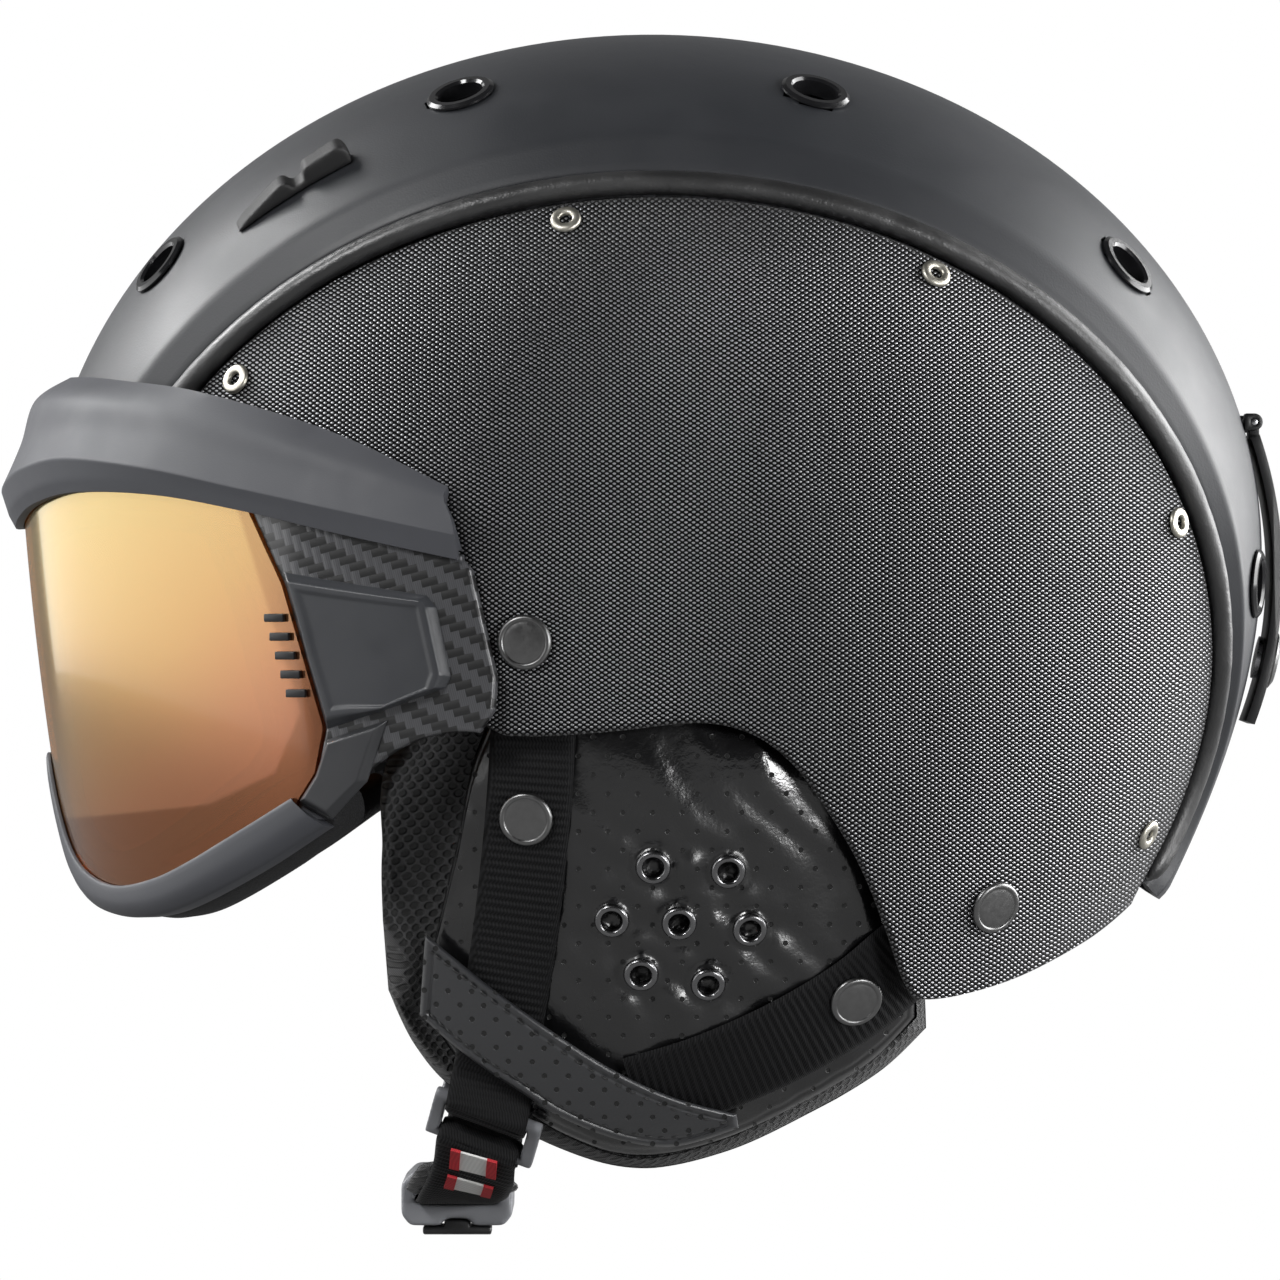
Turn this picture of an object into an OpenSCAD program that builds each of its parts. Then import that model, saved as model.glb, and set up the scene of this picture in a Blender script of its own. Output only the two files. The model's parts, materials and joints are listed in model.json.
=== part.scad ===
// Visor ski helmet, worn position, millimetres, +Z up.
// The wearer faces -X and the wearer's left side is -Y. The origin is the
// middle of the head, where the shell is widest. Outlines are written for
// the nominal shell and grow with it; walls, straps and fasteners keep
// their own sizes.

/* [Shell] */
// Overall length of the shell, front to back
shell_len = 286; // [276:1:300]
// Overall width of the shell
shell_w = 228; // [220:1:240]
// Height of the crown above the widest level
shell_h = 121.5; // [116:0.5:130]
// Wall of the crown cover
crown_t = 3; // [2.2:0.1:3.6]
// Depth of the side panels below the crown cover
panel_drop = 4; // [3.6:0.1:4.6]
// Wall of the side panels
panel_t = 2; // [1.4:0.1:2.3]
// Diameter of the leather piping beside the panels
piping_d = 5.6; // [5:0.1:6]

/* [Padding] */
// Thickness of the energy foam
foam_t = 23; // [18:1:26]
// Thickness of the comfort lining
lining_t = 5.5; // [4:0.5:7]
// Thickness of the ear pad lining
ear_lining_t = 8; // [6:0.5:9]

/* [Vents and fasteners] */
// Outer diameter of a vent ring
vent_ring_d = 16; // [14.5:0.5:17]
// Clear bore of a vent ring
vent_hole_d = 10.6; // [8:0.2:11]
// Diameter of the hollow rivets
rivet_d = 7; // [6:0.2:8]
// Bore of the hollow rivets
rivet_hole_d = 2.8; // [2:0.2:3.2]
// Diameter of the strap caps
cap_d = 12.2; // [11:0.2:13]
// Outer diameter of the ear pad eyelets
eyelet_d = 8; // [7:0.2:9]
// Bore of the ear pad eyelets
eyelet_hole_d = 4.6; // [3.6:0.2:5]

/* [Straps] */
// Width of the webbing
strap_w = 19; // [16:0.5:20]
// Thickness of the webbing
strap_t = 1.2; // [1:0.1:1.4]
// Thickness of the leather cross band
cross_t = 1.6; // [1.2:0.1:1.8]
// Width of the buckle housing
buckle_w = 26; // [25:0.5:28]
// Length of the buckle housing
buckle_l = 30; // [28:1:34]
// Height of the buckle housing
buckle_h = 13; // [12:0.5:14]

/* [Visor] */
// Wall of the visor mouldings
visor_t = 2.4; // [2:0.1:2.6]
// Thickness of the outer lens
lens_t = 1.4; // [1.2:0.1:1.8]
// Thickness of the inner lens
inner_lens_t = 0.8; // [0.6:0.1:1]
// Air space between the two lenses
lens_air = 4.5; // [3.5:0.5:5]
// Height of the raised side boss
boss_h = 2.6; // [1.8:0.2:3]
// Diameter of the holding magnets
magnet_d = 12; // [10:0.5:13]
// Thickness of the holding magnets
magnet_t = 1; // [0.8:0.1:1.1]

/* [Goggle strap holder] */
// Width of the holder band
holder_w = 22; // [18:1:26]
// Thickness of the holder band
holder_t = 2.2; // [1.8:0.1:2.6]

/* [Fit dial] */
// Diameter of the dial
dial_d = 24; // [20:1:25]
// Height of the dial
dial_h = 9; // [8:0.5:11]
// Number of finger ribs on the dial
dial_ribs = 18; // [12:1:24]

/* [Fits] */
// Clearance between separate pieces
gap = 0.3; // [0.2:0.05:0.4]

/* [Hidden] */

$fn = 96;

// Nominal shell that the outlines were drawn for
len0 = 286;
width0 = 228;
height0 = 121.5;
kx = shell_len / len0;
ky = shell_w / width0;
kz = shell_h / height0;

// Head form: ellipsoid above the widest level, steeper sides and a rounded nape below it
half_len = shell_len / 2;
half_w = shell_w / 2;
side_depth = 228 * kz;
nape_depth = 134 * kz;
ear_depth = 178 * kz;

// Layers measured from the crown cover's outer face
panel_out = -panel_drop;
panel_in = panel_out - panel_t;
foam_side = panel_in - 0.5;
foam_top = -crown_t - 0.7;
foam_in = foam_side - foam_t;
lining_out = foam_in - 0.4;
lining_in = lining_out - lining_t;

// Side view ellipse of the panel's upper edge: centre and half axes
edge_c = [1.3 * kx, -25 * kz];
edge_r = [128.2 * kx, 104.7 * kz];
edge_front = 157.5;
edge_rear = -28;
// Width of the crown cover's bevelled border, front to rear along the panel's edge
bevel_w = [[0, 8], [0.35, 9.4], [0.62, 7.5], [0.72, 5.5], [0.84, 3], [1, 2.6]];
// Ellipse in side view beyond which the foam rises to the crown cover
rise_c = [0.8 * kx, -36 * kz];
rise_r = [140.2 * kx, 130 * kz];

// Least share of the half width at which an outline still lies on the side
side_limit = 0.975;

// Lower edge of a side panel in side view, from the temple round the ear to the nape
panel_low = [[-114.5, 13], [-100, 10.5], [-88, 5], [-75, -7], [-58, -26], [-37, -40], [-28, -42],
    [-10, -41], [10, -39], [22, -41.5], [31, -48], [38, -57], [46, -70], [52, -84], [57, -98],
    [61, -101.8], [70, -101], [84, -97], [100, -89.5], [111, -82]];

// Lower edges of the foam and lining: angle from the front, level
foam_low = [[0, 19], [36, 17], [45, 13], [54, 3], [63, -10], [72, -14], [98, -14], [106, -28],
    [114, -50], [122, -64], [150, -69], [162, -69], [171, -52], [180, -52]];
lining_hang = 3;

// Vents of one shoulder: angle in side view, distance from the middle plane
vents = [[149.8, 31], [112.8, 47], [70.4, 50], [31, 41], [-3, 21]];
// Hollow rivets and strap caps of one panel in side view
rivets = [[-93.7, 38.2], [-19.4, 73.4], [63.5, 61.6], [119.5, 6.2], [113.5, -65]];
strap_caps = [[-28.2, -20.9], [76.7, -80.3]];
// Snap caps on the straps of one side
snap_places = [[-28, -60], [45.5, -101.2]];
magnet_place = [-56, -20];

// Eyelets of one ear pad in side view
eyelets = [[0.1, -70.9], [16.8, -71.9], [-9.1, -82.9], [5.9, -83.5], [21.7, -85], [-2.6, -95.1],
    [12.4, -97.4]];

// Ear pad outline: lower edge and upper edge, front to rear
pad_low = [[-51, -104], [-44, -115.5], [-33, -124.5], [-19, -133.5], [-3, -138.5], [15, -134.5],
    [33, -126], [49, -116.5], [60, -106]];
pad_high = [[-49, -88], [-44, -67], [-38, -42], [-22, -16], [0, -16], [20, -17], [36, -44],
    [49, -74], [59.5, -100]];
lining_low = [[-60, -100], [-54, -113], [-44, -124], [-22, -136.5], [-3, -141.5], [17, -137.5],
    [36, -128.5], [52, -119], [62.5, -109]];
lining_high = [[-61, -84], [-61, -68], [-58, -44], [-30, -18], [0, -17], [20, -18], [36, -44],
    [50, -74], [62, -101]];

// Strap centre lines in side view
front_strap_line = [[-27, -17], [-26.5, -38], [-28, -62], [-31, -88], [-35, -112]];
rear_strap_line = [[76, -82], [60, -90], [46, -101], [30, -110.5], [12, -118.5], [-4, -123.5]];
// Cross band edges in side view, front to rear
band_high = [[-51, -86.5], [-44, -92], [-34.7, -99.4], [-20.6, -109.4], [-8, -117.4], [5, -123.5],
    [19, -127.5]];
band_low = [[-52.5, -105], [-46.5, -110.5], [-38, -117], [-30, -122.2], [-20, -128.6], [-6, -134],
    [6, -135], [19.5, -130.8]];

// Visor outlines: angle from the front, level
brow_low = [[0, 5.5], [17, 10.7], [28, 13.1], [41, 12.2], [52, 8.3], [62, 3], [73, -2.8]];
brow_crease = [[0, 14], [17, 19], [28, 20.9], [41, 18.2], [52, 13.4], [62, 8.4], [72.8, 2.8]];
brow_mid = [[0, 25], [17, 26.8], [28, 27.6], [41, 25.5], [52, 19.8], [62, 14], [72.3, 7]];
brow_shoulder = [[0, 35.5], [17, 35.2], [28, 34.4], [41, 31.6], [52, 26], [62, 19], [71.6, 11]];
brow_top = [[0, 41], [17, 40.3], [28, 38.9], [41, 36.1], [52, 30.6], [62, 23.2], [71, 13.6]];
// Stand-off of the brow from the visor surface along each of those lines, middle to side
brow_out = [[2.2, 1.5], [5, 1.8], [-0.4, 0.4], [-4.4, -0.8]];
lens_low = [[0, -48.6], [3.6, -51.4], [7, -59.4], [12, -69.6], [18, -75.5], [26, -78.3], [34, -76.5],
    [41, -71.9], [49, -64.2], [55, -57.5]];
rim_low = [[0, -55], [3.2, -57.4], [6.4, -65.4], [11, -75.4], [17, -81], [26, -83.6], [34, -82.8],
    [41.5, -78.8], [50.5, -71], [58.2, -62]];
// Width by which the brow and the lower frame reach over the lens edge
lens_lap = 1.8;
// Side edge of the lens: level, angle
lens_side = [[-57.5, 55], [-50, 57.6], [-40, 58.9], [-26, 57.4], [-8, 55.4], [9, 52]];
// Rear edge of the side plate: level, angle
plate_rear = [[-41, 74.2], [-36, 75.7], [-29, 76], [-5, 74], [-2.8, 73.2]];
// Front and rear edges of the raised boss and of the arm below it: angle, level
boss_front = [[59.4, -40.2], [57.6, -22.8], [55.8, -5.4]];
boss_rear = [[65.4, -36], [71.4, -31], [71.9, -28.5], [70.8, -13.2], [69.9, -10.6]];
arm_front = [[55.8, -56.3], [57.8, -50.6], [59.4, -42.6]];
arm_rear = [[59.2, -60.2], [63.2, -51.8], [65.6, -38.2]];

// Goggle strap holder: rear arc in the middle plane
holder_top = [142.6 * kx, 27.5 * kz];
holder_bottom = [141.3 * kx, -36.9 * kz];
holder_peak = 147.3 * kx;

// Helper functions

function flat(rows) = [for (r = rows) for (p = r) p];
function mix(a, b, f) = a + (b - a) * f;
function clamp(v, lo, hi) = min(max(v, lo), hi);
function unit(v) = v / norm(v);
function total(v, k = 0) = k == len(v) - 1 ? v[k] : v[k] + total(v, k + 1);
function middle(v) = total(v) / len(v);

// Smooth curve through a list of points, f from 0 to 1
function curve_part(a, b, c, d, f) =
    0.5 * (2 * b + (c - a) * f + (2 * a - 5 * b + 4 * c - d) * f * f + (3 * b - a - 3 * c + d) * f * f * f);
function curve(k, f) = let (
    n = len(k) - 1,
    u = clamp(f, 0, 1) * n,
    i = min(floor(u), n - 1))
    curve_part(k[max(i - 1, 0)], k[i], k[i + 1], k[min(i + 2, n)], u - i);
function scaled(p) = [p[0] * kx, p[1] * kz];

// Share of the depth term that a level below the widest one takes
function depth_term(u2, t) = (1 - u2) / pow(side_depth + t, 2) + u2 / pow(nape_depth + t, 2);
// 0 on the axis through the ears, 1 on the silhouette in side view
function side_value(x, z, t) = let (u2 = pow(x / (half_len + t), 2))
    u2 + (z >= 0 ? pow(z / (shell_h + t), 2) : z * z * depth_term(u2, t));

// Point on the left side of layer t, from its place in side view on layer t0
function on_side(p, t0, t) = let (
    f0 = side_value(p[0], p[1], t0),
    k = f0 > side_limit ? sqrt(side_limit / f0) : 1,
    x0 = p[0] * k,
    z0 = p[1] * k,
    u2 = pow(x0 / (half_len + t0), 2),
    x = x0 * (half_len + t) / (half_len + t0),
    drop = sqrt(depth_term(u2, t0) / depth_term(u2, t)),
    z = z0 * (z0 >= 0 ? (shell_h + t) / (shell_h + t0) : drop))
    [x, -(half_w + t) * sqrt(1 - side_value(x0, z0, t0)), z];

// Nearest point of layer t straight out from the middle of the head
function to_layer(p, t) = let (
    k = 1 / sqrt(side_value(p[0], p[2], t) + pow(p[1] / (half_w + t), 2)),
    q = p * k)
    q / sqrt(side_value(q[0], q[2], t) + pow(q[1] / (half_w + t), 2));

// Horizontal section of layer t at level z: half length and half width
function section_len(z, t) = z >= 0
    ? (half_len + t) * sqrt(1 - pow(z / (shell_h + t), 2))
    : (half_len + t) * sqrt((1 - pow(z / (side_depth + t), 2))
        / (1 + z * z * (1 / pow(nape_depth + t, 2) - 1 / pow(side_depth + t, 2))));
function section_w(z, t) = (half_w + t) * sqrt(1 - pow(z / ((z >= 0 ? shell_h : side_depth) + t), 2));
function on_section(a, z, t) = [-section_len(z, t) * cos(a), -section_w(z, t) * sin(a), z];

// Outward direction of the head form at a point
function outward(p) = unit([p[0] / pow(half_len, 2), p[1] / pow(half_w, 2),
    p[2] / pow(p[2] >= 0 ? shell_h : side_depth - abs(p[0]) / half_len * (side_depth - nape_depth), 2)]);

// Distance from the axis through the ears in direction a, where b is 90 on the silhouette
function reach(a, b, t) = let (
    c2 = pow(cos(a) / (half_len + t), 2),
    s = sin(a))
    s >= 0 ? sin(b) / sqrt(c2 + pow(s / (shell_h + t), 2))
    : let (
        q1 = c2 + pow(s / (side_depth + t), 2),
        q2 = c2 * s * s * (1 / pow(nape_depth + t, 2) - 1 / pow(side_depth + t, 2)))
        sqrt((-q1 + sqrt(q1 * q1 + 4 * q2 * pow(sin(b), 2))) / (2 * q2));
function on_polar(a, b, t) = [reach(a, b, t) * cos(a), -(half_w + t) * cos(b), reach(a, b, t) * sin(a)];

// Ear pad surface, layer t
function on_ear(p, t) = let (w2 = 1 - pow(p[0] / (half_len + t), 2) - pow(p[1] / (ear_depth + t), 2))
    [p[0], -(half_w + t) * sqrt(max(0.03, w2)), p[1]];
// Crowned outer layer of the ear pad
function pad_layer(p) = max(panel_in - 4.8,
    panel_in - 0.7 - 5 * pow((p[0] / kx - 5) / 58, 4) - 5 * pow((p[1] / kz + 88) / 52, 4));

// Visor surface, layer t
function visor_len(z) = let (d = 26 - z / kz) half_len + 5.5 - 0.06 * d - 0.0006 * d * d;
visor_w = half_w - panel_drop + visor_t + 0.5;
function on_visor(a, z, t) = [-(visor_len(z) + t) * cos(a), -(visor_w + t) * sin(a), z];
function lens_edge(z) = lookup(z / kz, lens_side);

// Outward direction of the visor surface
function visor_normal(a, z) = unit(cross(on_visor(a + 1, z, 0) - on_visor(a - 1, z, 0), [
    on_visor(a, z + 1, 0)[0] - on_visor(a, z - 1, 0)[0], 0, 2]));

// Side view ellipse point
function ellipse_at(c, r, a) = c + [r[0] * cos(a), r[1] * sin(a)];

// Solids from grids of points

function quad(a, b, c, d, turn) = turn ? [[a, b, c], [a, c, d]] : [[a, c, b], [a, d, c]];

// Wall between two grids of points
module wall(o, i) {
    n = len(o);
    m = len(o[0]);
    s = n * m;
    polyhedron(points = concat(flat(o), flat(i)), faces = concat(
        [for (a = [0:n - 2]) for (b = [0:m - 2])
            each quad(a * m + b, (a + 1) * m + b, (a + 1) * m + b + 1, a * m + b + 1, false)],
        [for (a = [0:n - 2]) for (b = [0:m - 2])
            each quad(s + a * m + b, s + (a + 1) * m + b, s + (a + 1) * m + b + 1, s + a * m + b + 1, true)],
        [for (a = [0:n - 2])
            each quad(a * m, (a + 1) * m, s + (a + 1) * m, s + a * m, true)],
        [for (a = [0:n - 2])
            each quad(a * m + m - 1, (a + 1) * m + m - 1, s + (a + 1) * m + m - 1, s + a * m + m - 1, false)],
        [for (b = [0:m - 2])
            each quad(b, b + 1, s + b + 1, s + b, false)],
        [for (b = [0:m - 2]) let (c = (n - 1) * m + b)
            each quad(c, c + 1, s + c + 1, s + c, true)]));
}

// Bowl between two stacks of closed rings, with a top point each
module bowl(o, i, top_o, top_i) {
    n = len(o);
    m = len(o[0]);
    s = n * m;
    polyhedron(points = concat(flat(o), flat(i), [top_o, top_i]), faces = concat(
        [for (a = [0:n - 2]) for (b = [0:m - 1]) let (c = (b + 1) % m)
            each quad(a * m + b, (a + 1) * m + b, (a + 1) * m + c, a * m + c, false)],
        [for (a = [0:n - 2]) for (b = [0:m - 1]) let (c = (b + 1) % m)
            each quad(s + a * m + b, s + (a + 1) * m + b, s + (a + 1) * m + c, s + a * m + c, true)],
        [for (b = [0:m - 1]) let (c = (b + 1) % m)
            each quad((n - 1) * m + b, (n - 1) * m + c, s + (n - 1) * m + c, s + (n - 1) * m + b, true)],
        [for (b = [0:m - 1]) [2 * s, (b + 1) % m, b]],
        [for (b = [0:m - 1]) [2 * s + 1, s + b, s + (b + 1) % m]]));
}

// Closed bar through a list of rings, the last ring joined to the first
module loop_bar(p) {
    n = len(p);
    m = len(p[0]);
    polyhedron(points = flat(p), faces = [
        for (a = [0:n - 1]) for (b = [0:m - 1]) let (a1 = (a + 1) % n, c = (b + 1) % m)
            each quad(a * m + b, a1 * m + b, a1 * m + c, a * m + c, true)]);
}

// Bar through a list of rings, capped at both ends
module bar(p) {
    n = len(p);
    m = len(p[0]);
    s = n * m;
    polyhedron(points = concat(flat(p), [middle(p[0]), middle(p[n - 1])]), faces = concat(
        [for (a = [0:n - 2]) for (b = [0:m - 1]) let (c = (b + 1) % m)
            each quad(a * m + b, (a + 1) * m + b, (a + 1) * m + c, a * m + c, true)],
        [for (b = [0:m - 1]) [s, b, (b + 1) % m]],
        [for (b = [0:m - 1]) [s + 1, (n - 1) * m + (b + 1) % m, (n - 1) * m + b]]));
}

// Round bar of diameter d along points, with the given outward directions
function round_rings(pts, outs, d, sides) = [for (k = [0:len(pts) - 1]) let (
    t = unit(pts[min(k + 1, len(pts) - 1)] - pts[max(k - 1, 0)]),
    s = unit(cross(t, outs[k])),
    u = cross(s, t))
    [for (j = [0:sides - 1]) pts[k] + d / 2 * (cos(j * 360 / sides) * u + sin(j * 360 / sides) * s)]];

// Flat webbing along points: w wide along the side directions, t thick
function flat_rings(pts, sides, w, t) = [for (k = [0:len(pts) - 1]) let (
    d = unit(pts[min(k + 1, len(pts) - 1)] - pts[max(k - 1, 0)]),
    n = unit(cross(d, sides[k])),
    s = cross(n, d))
    [for (c = [[-1, -1], [1, -1], [1, 1], [-1, 1]]) pts[k] + s * c[0] * w / 2 + n * c[1] * t / 2]];

// Place a piece whose +Z points along n at p
module aim(p, n) {
    translate(p) rotate([0, acos(n[2]), atan2(n[1], n[0])]) children();
}
// Place a piece on the head form, or on layer t of the ear pad
module seat(p) { aim(p, outward(p)) children(); }
// The same, with the piece's +X turned towards direction d
module seat_along(p, d) {
    n = outward(p);
    y = unit(cross(n, d));
    x = cross(y, n);
    multmatrix([for (k = [0:2]) [x[k], y[k], n[k], p[k]]]) children();
}
function ear_normal(p, t) = unit(cross(on_ear(p + [1, 0], t) - on_ear(p - [1, 0], t),
    on_ear(p + [0, 1], t) - on_ear(p - [0, 1], t)));
module seat_on_ear(p, t) { aim(on_ear(p, t), ear_normal(p, t)) children(); }
module seat_on_visor(a, z, t) { aim(on_visor(a, z, t), visor_normal(a, z)) children(); }
// The same, with the piece's +X running rearwards along the visor
module seat_along_visor(a, z, t) {
    n = visor_normal(a, z);
    x = unit(on_visor(a + 1, z, t) - on_visor(a - 1, z, t));
    y = cross(n, x);
    p = on_visor(a, z, t);
    multmatrix([for (k = [0:2]) [x[k], y[k], n[k], p[k]]]) children();
}
module both_sides() {
    children();
    mirror([0, 1, 0]) children();
}

// Shell

crown_cols = 36;
crown_rows = 6;
// Panel's upper edge, f from 0 at the front to 1 at the nape, and a line beside it
function edge_at(f) = ellipse_at(edge_c, edge_r, mix(edge_front, edge_rear, f));
function edge_point(f) = on_side(edge_at(f), panel_out, panel_out);
function edge_side(f) = unit(cross(outward(edge_point(f)), edge_point(f + 0.01) - edge_point(f - 0.01)));
function beside(f, d, t) = to_layer(edge_point(f) + edge_side(f) * d, t);
border = piping_d + 2 * gap;
function crown_left(f, t, edge_t, crease_t) = let (
    c = beside(f, border + lookup(f, bevel_w), crease_t))
    concat([beside(f, border, edge_t)],
    [for (k = [0:crown_rows]) k == 0 ? c
        : on_polar(atan2(c[2], c[0]), mix(acos(-c[1] / (half_w + crease_t)), 90, k / crown_rows), t)]);
function mirrored(row) = [for (k = [len(row) - 2:-1:0]) [row[k][0], -row[k][1], row[k][2]]];
function crown_row(f, t, edge_t, crease_t) = let (
    left = crown_left(1 - f, t, edge_t, crease_t),
    right = mirrored(left))
    [for (k = [len(left) + len(right) - 1:-1:0]) k < len(left) ? left[k] : right[k - len(left)]];

module crown_shell() {
    color("#222325") difference() {
        wall([for (k = [0:crown_cols]) crown_row(k / crown_cols, 0, 0.8 - panel_drop, 0)],
            [for (k = [0:crown_cols]) crown_row(k / crown_cols, -crown_t, -1.6 - panel_drop, -crown_t - 1)]);
        both_sides() for (v = vents)
            seat(vent_point(v)) translate([0, 0, -12]) cylinder(h = 20, d = vent_barrel_d + 2 * gap);
    }
}

vent_barrel_d = vent_hole_d + 2.4;
function vent_point(v) = on_polar(v[0], acos(v[1] / (half_w) * ky), 0);

module side_panel() {
    cols = 36;
    rows = 7;
    function spot(k, r) = mix(scaled(curve(panel_low, k / cols)), edge_at(k / cols), r / rows);
    color("#2b2c2e") difference() {
        wall([for (k = [0:cols]) [for (r = [0:rows]) on_side(spot(k, r), panel_out, panel_out)]],
            [for (k = [0:cols]) [for (r = [0:rows]) on_side(spot(k, r), panel_out, panel_in)]]);
        seat(on_side(scaled(magnet_place), panel_out, panel_out))
            translate([0, 0, -panel_t - 4]) cylinder(h = panel_t + 8, d = magnet_d + 2 * gap);
    }
}
module side_panel_left() { side_panel(); }
module side_panel_right() { mirror([0, 1, 0]) side_panel(); }

piping_layer = -panel_drop + 0.4;
module panel_piping() {
    steps = 44;
    pts = [for (k = [0:steps]) beside(k / steps, gap + piping_d / 2, piping_layer)];
    color("#1b1b1c") bar(round_rings(pts, [for (p = pts) outward(p)], piping_d, 6));
}
module panel_piping_left() { panel_piping(); }
module panel_piping_right() { mirror([0, 1, 0]) panel_piping(); }

// Padding

bowl_cols = 40;
bowl_rows = 8;
function low_edge(a, hang) = (lookup(a <= 180 ? a : 360 - a, foam_low) - hang) * kz;
// Level of ring k of n below the top, for a lower edge at level low
function ring_level(k, n, low, t) = let (
    h = shell_h + t,
    last = low >= 0 ? asin(low / h) : low / h * 180 / PI,
    a = mix(90, last, k / n))
    a >= 0 ? h * sin(a) : h * a * PI / 180;
function bowl_rings(t, hang) = [for (k = [1:bowl_rows]) [for (j = [0:bowl_cols - 1]) let (
    a = j * 360 / bowl_cols)
    on_section(a, ring_level(k, bowl_rows, low_edge(a, hang), t), t)]];
// The foam fills the room under the crown cover and under the lower panels
function foam_layer(p) = let (
    e = pow((p[0] - rise_c[0]) / rise_r[0], 2) + pow((p[2] - rise_c[1]) / rise_r[1], 2))
    mix(foam_side, foam_top, clamp((e - 1) / 0.12, 0, 1));
function foam_outer() = [for (k = [1:bowl_rows]) [for (j = [0:bowl_cols - 1]) let (
    a = j * 360 / bowl_cols,
    z = ring_level(k, bowl_rows, low_edge(a, 0), foam_side),
    t = foam_layer(on_section(a, z, foam_side)))
    on_section(a, z * (shell_h + t) / (shell_h + foam_side), t)]];

module energy_foam() {
    color("#303134") bowl(foam_outer(), bowl_rings(foam_in, 0),
        [0, 0, shell_h + foam_top], [0, 0, shell_h + foam_in]);
}
module comfort_lining() {
    color("#191a1c") bowl(bowl_rings(lining_out, lining_hang), bowl_rings(lining_in, lining_hang),
        [0, 0, shell_h + lining_out], [0, 0, shell_h + lining_in]);
}
// Padded rolls along the nape, below the foam, one on each side of the dial
module neck_pad() {
    steps = 8;
    function roll(a) = let (z = (lookup(a, foam_low) - 9.6) * kz)
        [on_section(a, z + 9, foam_in + 13), on_section(a, z + 9, foam_in + 3), on_section(a, z, foam_in),
        on_section(a, z - 9, foam_in + 4), on_section(a, z - 10, foam_in + 9),
        on_section(a, z - 4, foam_in + 13.5)];
    color("#17181a") both_sides() bar([for (k = [steps:-1:0]) roll(mix(128, 160, k / steps))]);
}

// Vents, rivets and rests

module vent_ring() {
    lip_t = 1.2;
    color("#0d0d0e") rotate_extrude() polygon([
        [vent_hole_d / 2, -crown_t], [vent_barrel_d / 2, -crown_t], [vent_barrel_d / 2, 0.15],
        [vent_ring_d / 2, 0.15], [vent_ring_d / 2, 0.6],
        [vent_ring_d / 2 - 0.8, lip_t], [vent_hole_d / 2 + 0.6, lip_t], [vent_hole_d / 2, 0.6]]);
}
module vent_rings() {
    both_sides() for (v = vents) seat(vent_point(v)) vent_ring();
}
module rivet() {
    head_h = 1.3;
    color("#c9c9c7") rotate_extrude() polygon([
        [rivet_hole_d / 2, 0.25], [rivet_d / 2, 0.25], [rivet_d / 2, 0.7],
        [rivet_d / 2 - 0.7, head_h], [rivet_hole_d / 2 + 0.5, head_h], [rivet_hole_d / 2, head_h - 0.4]]);
}
module panel_rivets() {
    both_sides() for (r = rivets) seat(on_side(scaled(r), panel_out, panel_out)) rivet();
}
module snap_cap(d) {
    cap_h = 1.9;
    base = gap + 0.2;
    color("#3c3d40") rotate_extrude() polygon([[0, base], [d / 2, base], [d / 2, 0.9], [d / 2 - 0.6, 1.4],
        [d / 2 - 2.2, cap_h], [0, cap_h + 0.2]]);
}
module strap_anchor_caps() {
    both_sides() for (c = strap_caps) seat(on_side(scaled(c), panel_out, panel_out)) snap_cap(cap_d);
}
module helmet_magnets() {
    both_sides() seat(on_side(scaled(magnet_place), panel_out, panel_out))
        color("#8c8d90") translate([0, 0, -panel_t]) cylinder(h = panel_t - 0.2, d = magnet_d);
}

// Rubber rest with a notch, where the raised visor is parked
rest_len = 31;
rest_w = 5.4;
rest_angle = 135;
rest_side = 53 * ky;
module park_rest() {
    foot = 0.1;
    r = half_len;
    function foot_y(x) = foot - (r - sqrt(r * r - pow(x - rest_len / 2, 2)));
    color("#101011") seat_along(on_polar(rest_angle, acos(rest_side / half_w), 0), [25.8, -3.7, 15.8])
        translate([-rest_len / 2, rest_w / 2, 0]) rotate([90, 0, 0])
            linear_extrude(height = rest_w) polygon(concat(
                [for (k = [0:10]) [rest_len * k / 10, foot_y(rest_len * k / 10)]],
                [[rest_len + 0.4, 2.2], [rest_len, 4], [rest_len - 1.2, 4.8], [rest_len - 10, 4.6],
                [rest_len - 11, 3.8], [rest_len - 11.4, 1.9], [rest_len - 14.4, 1.7], [rest_len - 15.4, 3.9],
                [rest_len - 17, 4.2], [8, 2.6], [3, 1.2], [0, foot_y(0) + 0.6]]));
}
module park_rest_left() { park_rest(); }
module park_rest_right() { mirror([0, 1, 0]) park_rest(); }

// Goggle strap holder

holder_half = (holder_top[1] - holder_bottom[1]) / 2;
holder_rise = holder_peak - (holder_top[0] + holder_bottom[0]) / 2;
holder_r = (holder_half * holder_half + holder_rise * holder_rise) / (2 * holder_rise);
holder_mid = [holder_peak - holder_r, (holder_top[1] + holder_bottom[1]) / 2];
holder_angle = asin(holder_half / holder_r);
hinge_pin_d = 1.6;
hinge_place = [holder_top[0] - 1.9, holder_top[1] + 3];

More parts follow.
